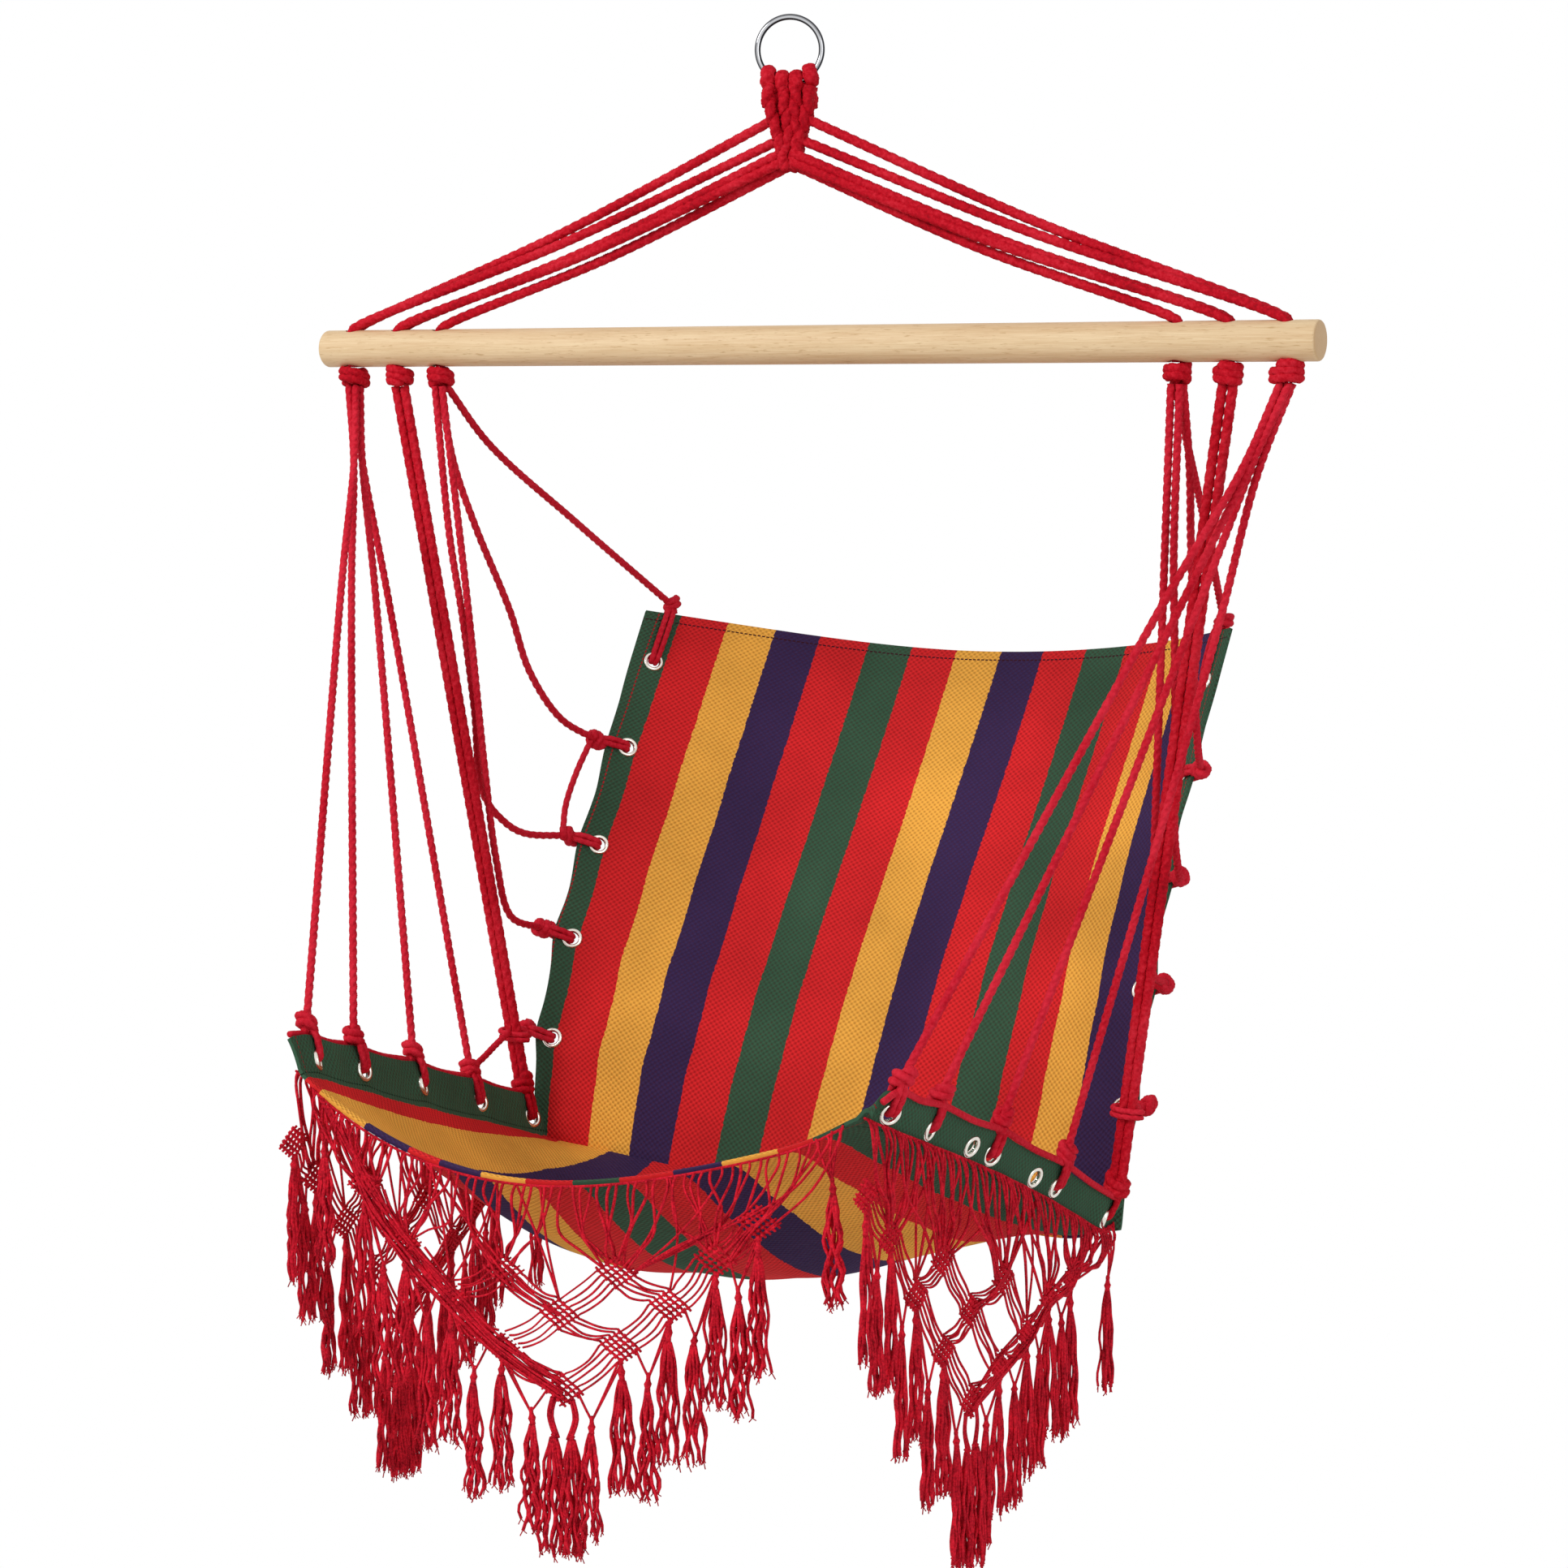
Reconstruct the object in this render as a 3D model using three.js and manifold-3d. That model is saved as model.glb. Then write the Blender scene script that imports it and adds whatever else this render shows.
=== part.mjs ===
// A hanging hammock chair: a steel ring, a rope hanger, a wooden spreader bar, and a striped cloth seat and back
// laced to ropes, with a knotted fringe. Millimetres, +X along the bar, +Y to the back, +Z up.
// The origin is the inside of the ring's top, where the ring bears on a hook.
import * as THREE from "three";
import { mergeVertices } from "three/addons/utils/BufferGeometryUtils.js";
import Module from "manifold-3d";

const wasm = await Module();
wasm.setup();

// Clearances
const gap = 0.3;
const runningGap = 0.5;
const overrun = 2;
const seamGap = 0.8;

// Ring and the rope wraps on it
const ringOuterDiameter = 63;
const ringWire = 5.4;
const ringTurn = THREE.MathUtils.degToRad(20);
const wrapRadius = 14.8;
const wrapGroove = 2.2;
const wrapWidth = 52;
const wrapCount = 4;

// Hanger knot under the ring
const knotBottomDrop = 134;
const knotTopWidth = 50;
const knotTopThickness = 25;
const knotFootWidth = 20;
const knotFootThickness = 17;

// Spreader bar
const barLength = 1000;
const barDiameter = 35;
const barRounding = 3;
const barDrop = 287;
const holeDiameter = 16;
const outerHoleInset = 30;
const middleHoleInset = 82;
const innerHoleInset = 128;

// Ropes and cords
const ropeDiameter = 9.5;
const cordDiameter = 7.5;
const edgeRopeDiameter = 6;
const pairStemDiameter = 14;
const outerRopeDrops = [82, 103];
const middleRopeDrops = [117, 125];
const innerRopeDrops = [131];
const pairSpread = 6;
const ropeSag = 7;
const stopperRadius = 10.6;
const stopperWidth = 28;
const cordSpread = 4;
const rearRopeSpread = 7;

// Cloth
const clothThickness = 3;
const seatDepth = 444;
const seatFrontReach = 392;
const seatEdgeFrontDrop = 872;
const seatEdgeFall = 157;
const seatFrontWidth = 556;
const seatRearWidth = 612;
const bandHeight = 36;
const bandLean = 12;
const frontSag = 65;
const rearSag = 8;
const belly = 87;
const sagSkewShare = 0.35;
const rearTwist = 22;
const frontBow = 14;
const backBottomWidth = 604;
const backTopWidth = 630;
const backTopDrop = 548;
const backTopReach = 288;
const backSideKneeDrop = 880;
const backHollow = 118;
const backTopSag = 39;
const backMiddleKneeReach = 42;
const backMiddleKneeRise = 104;

// Eyelets, seat knots and ties
const eyeletDiameter = 20;
const eyeletBore = 12;
const eyeletHeight = 4;
const seatEyeletInset = 22;
const backEyeletInset = 17;
const edgeKnotDiameter = 18;
const tieBulge = 6;
const tieStep = 9;
const seatEyeletShares = [0.08, 0.243, 0.482, 0.734, 0.96];
const backEyeletShares = [0.93, 0.8, 0.642, 0.475, 0.27];
const seatEyeletNodes = 4;
const backEyeletNodes = 4;

// Fringe
const frontFringeDepth = 171;
const sideFringeDepth = 207;
const tasselLength = 118;
const tasselWidth = 19;
const tasselNeck = 7;
const fringeKnot = 15;
const stringDiameter = 2.4;
const linkDiameter = 4.6;
const headingDiameter = 4;
const rowShares = [1, 0.82, 0.62, 0.44, 0.3];
const frontSpanShare = 0.95;
const frontApexShare = 0.475;
const sideApexShare = 0.4;

// Sizes that follow
const ringWireRadius = ringWire / 2;
const ringRadius = ringOuterDiameter / 2 - ringWireRadius;
const ringCentreDrop = ringRadius - ringWireRadius;
const wrapDrop = ringCentreDrop + ringRadius;
const barRadius = barDiameter / 2;
const stopperDrop = barDrop + barRadius + gap + stopperRadius;
const ropeRadius = ropeDiameter / 2;
const cordRadius = cordDiameter / 2;
const edgeRopeRadius = edgeRopeDiameter / 2;
const edgeKnotRadius = edgeKnotDiameter / 2;
const bandShare = bandHeight / (seatFrontWidth / 2 + bandHeight - bandLean);
const seatFoldShare = 1 - bandShare;
const backBaseReach = seatDepth - seatFrontReach + clothThickness / 2 + seamGap;

const material = (color, roughness, metalness = 0) => new THREE.MeshStandardMaterial({ color, roughness, metalness });
const ropeRed = () => material(0xc8142c, 0.85);
const cottonRed = () => material(0xd01428, 0.9);
const canvas = () => material(0xd62b2b, 0.9);
const beech = () => material(0xdcc49a, 0.55);
const chrome = () => material(0xd8d8dc, 0.12, 1);
const nickel = () => material(0xcfccc4, 0.25, 1);

const chair = new THREE.Group();

function addPiece(name, geometry, look) {
  const mesh = new THREE.Mesh(geometry, look);
  mesh.name = name;
  chair.add(mesh);
}

// Solids from geometries, and back
function solidOf(geometry) {
  const bare = new THREE.BufferGeometry();
  bare.setAttribute("position", geometry.getAttribute("position"));
  if (geometry.index) bare.setIndex(geometry.index);
  const merged = mergeVertices(bare, gap / 1000);
  const vertProperties = merged.attributes.position.array;
  const triVerts = new Uint32Array(merged.index.array);
  return new wasm.Manifold(new wasm.Mesh({ numProp: 3, vertProperties, triVerts }));
}

function geometryOf(solid) {
  const mesh = solid.getMesh();
  const geometry = new THREE.BufferGeometry();
  geometry.setAttribute("position", new THREE.BufferAttribute(mesh.vertProperties, 3));
  geometry.setIndex(new THREE.BufferAttribute(mesh.triVerts, 1));
  geometry.computeVertexNormals();
  return geometry;
}

const joined = (solids) => solids.reduce((whole, solid) => whole.add(solid));

const point = (x, y, z) => new THREE.Vector3(x, y, z);

// A round section with a set number of sides
function roundSection(radius, sides) {
  const section = new THREE.Shape();
  for (let side = 0; side < sides; side++) {
    const angle = (2 * Math.PI * side) / sides;
    const corner = [radius * Math.cos(angle), radius * Math.sin(angle)];
    if (side === 0) section.moveTo(...corner);
    else section.lineTo(...corner);
  }
  section.closePath();
  return section;
}

// A rope or cord along the points that it passes
function ropeAlong(points, radius, steps, sides = 8) {
  const route = points.length === 2 ? new THREE.LineCurve3(...points) : new THREE.CatmullRomCurve3(points);
  return solidOf(new THREE.ExtrudeGeometry(roundSection(radius, sides), { steps, extrudePath: route }));
}

// A profile turned about an axis that stands at a place and points along a direction
function turned(profile, segments, place, axis) {
  const geometry = new THREE.LatheGeometry(profile.map(([r, h]) => new THREE.Vector2(r, h)), segments);
  const turn = new THREE.Quaternion().setFromUnitVectors(point(0, 1, 0), axis.clone().normalize());
  geometry.applyQuaternion(turn);
  geometry.translate(place.x, place.y, place.z);
  return geometry;
}

// A sheet of cloth: two faces of quads on either side of a surface, joined along the rim.
// Both faces split their quads the same way, mirrored about the middle, so the sheet has one thickness.
function sheetOn(surface, across, along, thickness) {
  const places = [];
  const corners = [];
  const row = across + 1;
  const face = row * (along + 1);
  for (const level of [0.5, -0.5]) {
    for (let i = 0; i < face; i++) {
      const u = (2 * (i % row)) / across - 1;
      const v = Math.floor(i / row) / along;
      const place = surface(u, v).addScaledVector(normalOn(surface, u, v), level * thickness);
      places.push(...place.toArray());
    }
  }
  const quad = (a, b, c, d, mirrored) => corners.push(...(mirrored ? [a, b, d, b, c, d] : [a, b, c, a, c, d]));
  for (let j = 0; j < along; j++) {
    for (let i = 0; i < across; i++) {
      const [a, b, c, d] = [j * row + i, j * row + i + 1, (j + 1) * row + i + 1, (j + 1) * row + i];
      const mirrored = i >= across / 2;
      quad(a, b, c, d, mirrored);
      quad(d + face, c + face, b + face, a + face, !mirrored);
    }
  }
  for (let i = 0; i < across; i++) {
    const far = along * row + i;
    quad(i + face, i + face + 1, i + 1, i, false);
    quad(far, far + 1, far + face + 1, far + face, false);
  }
  for (let j = 0; j < along; j++) {
    const near = j * row;
    const end = near + across;
    quad(near, near + row, near + row + face, near + face, false);
    quad(end + face, end + row + face, end + row, end, false);
  }
  const geometry = new THREE.BufferGeometry();
  geometry.setAttribute("position", new THREE.Float32BufferAttribute(places, 3));
  geometry.setIndex(corners);
  return solidOf(geometry);
}

const probeShare = 0.001;

function normalOn(surface, u, v) {
  const acrossStep = surface(u + probeShare, v).sub(surface(u - probeShare, v));
  const alongStep = surface(u, v + probeShare).sub(surface(u, v - probeShare));
  return acrossStep.cross(alongStep).normalize();
}

// Seat surface: u runs from the left edge at -1 to the right edge at 1, v from the front hem to the rear seam.
// Between the folds it hangs in a curve, and outside them a band stands up to the edge.
const seatEdgeZ = (v) => -seatEdgeFrontDrop - seatEdgeFall * (0.8 * v + 0.2 * v * v);
const seatFoldHalf = (v) => THREE.MathUtils.lerp(seatFrontWidth, seatRearWidth, v) / 2 - bandLean;
const seatSag = (v) => THREE.MathUtils.lerp(frontSag, rearSag, v) + belly * Math.sin(Math.PI * v);

function seatAt(u, v) {
  const side = Math.sign(u);
  const reach = Math.abs(u) / seatFoldShare;
  const y = v * seatDepth - seatFrontReach;
  const foldZ = seatEdgeZ(v) - bandHeight - rearTwist * u * v ** 2;
  if (reach > 1) {
    const up = (Math.abs(u) - seatFoldShare) / bandShare;
    return point(side * (seatFoldHalf(v) + bandLean * up), y, foldZ + bandHeight * up);
  }
  const bow = frontBow * (1 - reach * reach) * (1 - v) ** 2;
  const skew = 1 - sagSkewShare * side * reach * (1 - v);
  return point(side * seatFoldHalf(v) * reach, y + bow, foldZ - seatSag(v) * (1 - reach * reach) * skew);
}

// Back surface: u from left to right, t from the seam with the seat to the top hem.
// Its side edges are pulled forward and its middle hangs back, so it is hollow.
const curveThrough = (start, knee, end, t) => (1 - t) ** 2 * start + 2 * t * (1 - t) * knee + t ** 2 * end;
const hollowPower = 3;
const backBottomSideDrop = seatEdgeFrontDrop + seatEdgeFall + bandHeight - clothThickness / 2;
const backBottomMiddleDrop = backBottomSideDrop + rearSag;

function backAt(u, t) {
  const sideY = curveThrough(backBaseReach, backBaseReach, backTopReach, t);
  const sideZ = -curveThrough(backBottomSideDrop, backSideKneeDrop, backTopDrop, t);
  const kneeY = backBaseReach + backMiddleKneeReach;
  const kneeZ = backBottomMiddleDrop - backMiddleKneeRise;
  const middleY = curveThrough(backBaseReach, kneeY, backTopReach + backHollow, t);
  const middleZ = -curveThrough(backBottomMiddleDrop, kneeZ, backTopDrop + backTopSag, t);
  const pull = Math.abs(u) ** hollowPower;
  const half = THREE.MathUtils.lerp(backBottomWidth, backTopWidth, t) / 2;
  const y = THREE.MathUtils.lerp(middleY, sideY, pull);
  const twist = rearTwist * u * (1 - t) ** 3;
  return point(half * u, y, THREE.MathUtils.lerp(middleZ, sideZ, Math.abs(u) ** 2) - twist);
}

// Places of the eyelets, in from the edges by a set length of cloth
const seatEyeletU = (side) => side * (1 - seatEyeletInset * bandShare / Math.hypot(bandHeight, bandLean));
const backEyeletU = (side) => side * (1 - backEyeletInset / (backTopWidth / 2));

function eyeletSeat(surface, u, v, side) {
  const place = surface(u, v);
  const normal = normalOn(surface, u, v);
  const out = surface(side, v).sub(surface(side * seatFoldShare, v)).normalize();
  return { place, normal, out };
}

const seatEyelet = (side, index) => eyeletSeat(seatAt, seatEyeletU(side), seatEyeletShares[index], side);
const backEyelet = (side, index) => eyeletSeat(backAt, backEyeletU(side), backEyeletShares[index], side);

function eyeletHole({ place, normal }) {
  const radius = eyeletDiameter / 2 + gap;
  const reach = clothThickness / 2 + overrun;
  return solidOf(turned([[0, -reach], [radius, -reach], [radius, reach], [0, reach]], 10, place, normal));
}

function addEyelet(name, { place, normal }) {
  const inner = eyeletBore / 2;
  const outer = eyeletDiameter / 2;
  const half = eyeletHeight / 2;
  const profile = [[inner, -half], [outer, -half], [outer, half], [inner, half], [inner, -half]];
  addPiece(name, turned(profile, 10, place, normal), nickel());
}

// A tie: one rope end that leaves its knot, goes down one face of the cloth, through the eyelet and back up
function tieLoop({ place, normal }, knotPlace) {
  const toKnot = knotPlace.clone().sub(place);
  const reach = toKnot.length();
  toKnot.normalize();
  const along = (far, offset) => place.clone().addScaledVector(toKnot, far).addScaledVector(normal, offset);
  const edge = reach - edgeKnotRadius - clothThickness / 2;
  const points = [along(0, 0)];
  for (const face of [-1, 1]) {
    const leg = [along(tieBulge * 0.4, face * tieBulge * 0.8), along(tieBulge * 2, face * tieBulge)];
    leg.push(along(edge, face * tieBulge), along(reach - cordRadius / 2, face * cordRadius / 2));
    if (face < 0) points.unshift(...leg.reverse());
    else points.push(...leg);
  }
  return ropeAlong(points, cordRadius, 2 * Math.ceil(reach / tieStep), 5);
}

function knotBall(place, diameter, around = 6, rings = 4) {
  const ball = new THREE.SphereGeometry(diameter / 2, around, rings);
  ball.rotateX(Math.PI / 2);
  ball.translate(place.x, place.y, place.z);
  return solidOf(ball);
}

// Seat knots stand just above the band's edge, in line with their eyelets
function seatKnotPlace(side, index) {
  const { place, out } = seatEyelet(side, index);
  return place.clone().addScaledVector(out, seatEyeletInset + clothThickness / 2 + edgeKnotRadius + gap);
}

// The top back knot stands above the top hem, and the others beyond the side edge that their cords pull forward
function backKnotPlace(side, index) {
  const { place, out } = backEyelet(side, index);
  const share = backEyeletShares[index];
  const beyond = clothThickness / 2 + edgeKnotRadius + gap;
  if (index > 0) {
    const inset = place.distanceTo(backAt(side, share));
    return place.clone().addScaledVector(out, inset + beyond);
  }
  const hem = backAt(backEyeletU(side), 1);
  const inset = place.distanceTo(hem);
  return place.clone().lerp(hem, (inset + beyond) / inset);
}

// Hanging ring: round bar bent to a circle and welded
const ringAcross = point(Math.cos(ringTurn), Math.sin(ringTurn), 0);
const ringAxis = point(-Math.sin(ringTurn), Math.cos(ringTurn), 0);

function ringSolid(wireRadius) {
  const geometry = new THREE.TorusGeometry(ringRadius, wireRadius, 8, 24);
  geometry.rotateX(Math.PI / 2);
  geometry.rotateZ(ringTurn);
  geometry.translate(0, 0, -ringCentreDrop);
  return solidOf(geometry);
}

function addRing() {
  addPiece("hanging_ring", geometryOf(ringSolid(ringWireRadius)), chrome());
}

// Rope wraps that hold the ring: rounds of rope side by side, turned about the ring's lowest wire
function wrapProfile(clearance) {
  const profile = [[0, -wrapWidth / 2 - clearance]];
  const pitch = wrapWidth / wrapCount;
  for (let wrap = 0; wrap < wrapCount; wrap++) {
    const start = -wrapWidth / 2 + wrap * pitch;
    if (wrap === 0) profile.push([wrapRadius - wrapGroove + clearance, start - clearance]);
    profile.push([wrapRadius + clearance, start + pitch * 0.3]);
    profile.push([wrapRadius + clearance, start + pitch * 0.7]);
    const end = wrap === wrapCount - 1 ? clearance : 0;
    profile.push([wrapRadius - wrapGroove + clearance, start + pitch + end]);
  }
  profile.push([0, wrapWidth / 2 + clearance]);
  return profile;
}

function addWraps() {
  const wraps = solidOf(turned(wrapProfile(0), 12, point(0, 0, -wrapDrop), ringAcross));
  addPiece("ring_loops", geometryOf(wraps.subtract(ringSolid(ringWireRadius + runningGap))), ropeRed());
}

// Hanger knot: a flat plait that narrows to a rounded foot, hollowed on top to turn under the wraps
function knotSolid(clearance) {
  const top = -wrapDrop;
  const foot = -knotBottomDrop;
  const rows = [0, 0.04, 0.12, 0.45, 0.8, 1];
  const widths = [0.4, 0.75, 1, 1.35, 2.25, 2.5].map((share) => share / 2.5 * knotTopWidth);
  const profile = rows.map((row, i) => [widths[i] / 2 + clearance, THREE.MathUtils.lerp(foot, top, row)]);
  profile[0][1] -= clearance;
  profile.unshift([0, foot - clearance]);
  profile.push([0, top]);
  const geometry = turned(profile, 12, point(0, 0, 0), point(0, 0, 1));
  const places = geometry.getAttribute("position");
  for (let i = 0; i < places.count; i++) {
    const rise = THREE.MathUtils.clamp((places.getZ(i) - foot) / (top - foot), 0, 1);
    const wide = THREE.MathUtils.lerp(knotFootWidth, knotTopWidth, rise);
    const thick = THREE.MathUtils.lerp(knotFootThickness, knotTopThickness, rise);
    places.setY(i, places.getY(i) * thick / wide);
  }
  geometry.rotateZ(ringTurn);
  return solidOf(geometry);
}

function addHangerKnot() {
  const reach = wrapWidth;
  const round = [[0, -reach], [wrapRadius + runningGap, -reach], [wrapRadius + runningGap, reach], [0, reach]];
  const hollow = solidOf(turned(round, 24, point(0, 0, -wrapDrop), ringAcross));
  addPiece("hanger_knot", geometryOf(knotSolid(0).subtract(hollow)), ropeRed());
}

// Spreader bar: a beech dowel with rounded ends and three holes at each end
const holeInsets = { outer: outerHoleInset, middle: middleHoleInset, inner: innerHoleInset };
const holePlaces = Object.fromEntries(Object.entries(holeInsets).map(([hole, inset]) => [hole, barLength / 2 - inset]));

function addBar() {
  const half = barLength / 2;
  const round = barRounding;
  const profile = [[0, -half], [barRadius - round, -half], [barRadius - round * 0.3, -half + round * 0.3]];
  profile.push([barRadius, -half + round], [barRadius, half - round]);
  profile.push([barRadius - round * 0.3, half - round * 0.3], [barRadius - round, half], [0, half]);
  let bar = solidOf(turned(profile, 20, point(0, 0, -barDrop), point(1, 0, 0)));
  const reach = barRadius + overrun;
  const drill = [[0, -reach], [holeDiameter / 2, -reach], [holeDiameter / 2, reach], [0, reach]];
  for (const place of Object.values(holePlaces)) {
    for (const side of [-1, 1]) {
      bar = bar.subtract(solidOf(turned(drill, 10, point(side * place, 0, -barDrop), point(0, 0, 1))));
    }
  }
  addPiece("spreader_bar", geometryOf(bar), beech());
}

// Upper ropes: from the hanger knot down to the bar's holes, where two of them share a hole as one stem
function upperRope(side, place, drop, spread) {
  const start = point(side * ropeRadius, spread, -drop);
  const mouth = point(side * place, 0, -barDrop + barRadius + ropeRadius + gap);
  const middle = start.clone().lerp(mouth, 0.5);
  middle.z -= ropeSag;
  return ropeAlong([start, middle, mouth], ropeRadius, 4);
}

function ropeStem(side, place, diameter) {
  const top = point(side * place, 0, -barDrop + barRadius + ropeDiameter);
  const foot = point(side * place, 0, -barDrop - barRadius);
  return ropeAlong([foot, top], diameter / 2, 1, 10);
}

function addUpperRopes() {
  const groups = { outer: outerRopeDrops, middle: middleRopeDrops, inner: innerRopeDrops };
  const around = knotSolid(gap);
  for (const side of [-1, 1]) {
    for (const [hole, drops] of Object.entries(groups)) {
      const spreads = { outer: [0, 0], middle: [-pairSpread, -pairSpread], inner: [pairSpread] }[hole];
      const strands = drops.map((drop, i) => upperRope(side, holePlaces[hole], drop, spreads[i]));
      const diameter = drops.length > 1 ? pairStemDiameter : ropeDiameter;
      const whole = joined([ropeStem(side, holePlaces[hole], diameter), ...strands]).subtract(around);
      addPiece(`${hole}_rope_${side < 0 ? "left" : "right"}`, geometryOf(whole), ropeRed());
    }
  }
}

// Stopper knots: under the bar, turned about the line on which the seat swings
function stopperProfile(clearance) {
  const half = stopperWidth / 2 + clearance;
  const radius = stopperRadius + clearance;
  const profile = [[0, -half], [radius * 0.6, -half], [radius, -half * 0.5]];
  profile.push([radius, half * 0.5], [radius * 0.6, half], [0, half]);
  return profile;
}

function stopperSolid(side, hole, clearance) {
  const place = point(side * holePlaces[hole], 0, -stopperDrop);
  return solidOf(turned(stopperProfile(clearance), 12, place, point(1, 0, 0)));
}

// The room that the cords' ends leave round a stopper knot, with enough faces to turn in
function stopperRoom(side, hole) {
  const radius = stopperRadius / Math.cos(Math.PI / 12) + gap;
  const half = stopperWidth / 2 + runningGap;
  const place = point(side * holePlaces[hole], 0, -stopperDrop);
  return solidOf(turned([[0, -half], [radius, -half], [radius, half], [0, half]], 24, place, point(1, 0, 0)));
}

function addStopperKnots() {
  for (const side of [-1, 1]) {
    for (const hole of Object.keys(holePlaces)) {
      addPiece(`stopper_knot_${hole}_${side < 0 ? "left" : "right"}`, geometryOf(stopperSolid(side, hole, 0)), ropeRed());
    }
  }
}

// Cloth panels with a hole for each eyelet
function addPanels() {
  let seat = sheetOn(seatAt, 16, 7, clothThickness);
  let back = sheetOn(backAt, 12, 7, clothThickness);
  for (const side of [-1, 1]) {
    seatEyeletShares.forEach((share, index) => {
      seat = seat.subtract(eyeletHole(seatEyelet(side, index)));
      back = back.subtract(eyeletHole(backEyelet(side, index)));
    });
  }
  addPiece("seat_panel", geometryOf(seat), canvas());
  addPiece("back_panel", geometryOf(back), canvas());
}

function addEyelets() {
  for (const side of [-1, 1]) {
    const name = side < 0 ? "left" : "right";
    for (let index = 0; index < seatEyeletNodes; index++) {
      addEyelet(`seat_eyelet_${index + 1}_${name}`, seatEyelet(side, index));
    }
    for (let index = 0; index < backEyeletNodes; index++) {
      addEyelet(`back_eyelet_${index + 1}_${name}`, backEyelet(side, index));
    }
  }
}

// Edge rope: lies along the top of the seat's standing band and runs through the seat knots
function edgeRope(side, radius, sides = 8) {
  const stations = [0.03, 0.2, 0.4, 0.6, 0.8, 0.97];
  const lift = clothThickness / 2 + edgeRopeRadius + gap;
  const points = stations.map((v) => {
    const edge = seatAt(side, v);
    const out = edge.clone().sub(seatAt(side * seatFoldShare, v)).normalize();
    return edge.addScaledVector(out, lift);
  });
  return ropeAlong(points, radius, 10, sides);
}

function addEdgeRopes() {
  for (const side of [-1, 1]) {
    addPiece(`edge_rope_${side < 0 ? "left" : "right"}`, geometryOf(edgeRope(side, edgeRopeRadius)), ropeRed());
  }
}

// Where the cords of one hole start: a bundle under the stopper knot
const bundlePlace = (side, hole, across, back) => point(
  side * (holePlaces[hole] + across * cordSpread), back * cordSpread, -stopperDrop - stopperRadius * 0.7);

// Seat cords: four cords on each side from the outer stopper knot to the knots on the seat's edge
function addSeatCords() {
  const starts = [[-1, -1], [1, -1], [-1, 1], [1, 1]];
  for (const side of [-1, 1]) {
    const room = stopperRoom(side, "outer").add(edgeRope(side, (edgeRopeRadius + gap) / Math.cos(Math.PI / 6), 6));
    starts.forEach(([across, back], index) => {
      const knot = seatKnotPlace(side, index);
      const cord = ropeAlong([bundlePlace(side, "outer", across, back), knot], cordRadius, 1);
      const whole = joined([cord, knotBall(knot, edgeKnotDiameter), tieLoop(seatEyelet(side, index), knot)]);
      addPiece(`seat_cord_${index + 1}_${side < 0 ? "left" : "right"}`, geometryOf(whole.subtract(room)), ropeRed());
    });
  }
}

// Rear ropes: two heavy ropes on each side from the middle stopper knot to the seat's rear corner
const rearRopeTop = (side) => bundlePlace(side, "middle", 0, 0);
const rearRopeFoot = (side) => seatKnotPlace(side, seatEyeletShares.length - 1);

function rearStrands(side, radius) {
  return [-1, 1].map((across) => {
    const start = rearRopeTop(side).add(point(side * across * rearRopeSpread, 0, 0));
    const end = rearRopeFoot(side).add(point(side * across * ropeRadius * 0.8, 0, 0));
    return ropeAlong([start, end], radius, 1);
  });
}

function addRearRopes() {
  for (const side of [-1, 1]) {
    const room = stopperRoom(side, "middle").add(edgeRope(side, (edgeRopeRadius + gap) / Math.cos(Math.PI / 6), 6));
    const knot = rearRopeFoot(side);
    const tie = tieLoop(seatEyelet(side, seatEyeletShares.length - 1), knot);
    const pieces = [knotBall(knot, edgeKnotDiameter), tie, ...rearStrands(side, ropeRadius)];
    addPiece(`rear_rope_${side < 0 ? "left" : "right"}`, geometryOf(joined(pieces).subtract(room)), ropeRed());
  }
}

// Back cords: four cords on each side from the inner stopper knot to the back's eyelets. The upper one is tight and
// the others hang slack. Each place is a share of the way inward, of the way back and of the fall.
const backCordRouteShares = [
  [[0.14, 0.19, 0.25], [0.52, 0.565, 0.6]],
  [[0.03, 0.11, 0.21], [0.17, 0.235, 0.38], [0.4, 0.45, 0.62], [0.53, 0.57, 0.79], [0.74, 0.77, 0.93]],
  [[0.15, 0.07, 0.32], [0.23, 0.17, 0.5], [0.3, 0.26, 0.7], [0.36, 0.32, 0.885], [0.5, 0.5, 0.955], [0.65, 0.66, 0.985]],
  [[0.33, 0.19, 0.4], [0.55, 0.31, 0.7], [0.68, 0.4, 0.86], [0.82, 0.54, 0.965]],
];

function addBackCords() {
  const starts = [[-1, 1], [1, 1], [1, -1], [-1, -1]];
  for (const side of [-1, 1]) {
    const room = stopperRoom(side, "inner");
    backCordRouteShares.forEach((shares, index) => {
      const knot = backKnotPlace(side, index);
      const start = bundlePlace(side, "inner", ...starts[index]);
      const points = shares.map(([inward, backward, fall]) => point(
        THREE.MathUtils.lerp(start.x, knot.x, inward),
        THREE.MathUtils.lerp(start.y, knot.y, backward),
        THREE.MathUtils.lerp(start.z, knot.z, fall)));
      const cord = ropeAlong([start, ...points, knot], cordRadius, 4 + shares.length);
      const whole = joined([cord, knotBall(knot, edgeKnotDiameter), tieLoop(backEyelet(side, index), knot)]);
      addPiece(`back_cord_${index + 1}_${side < 0 ? "left" : "right"}`, geometryOf(whole.subtract(room)), ropeRed());
    });
  }
}

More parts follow.
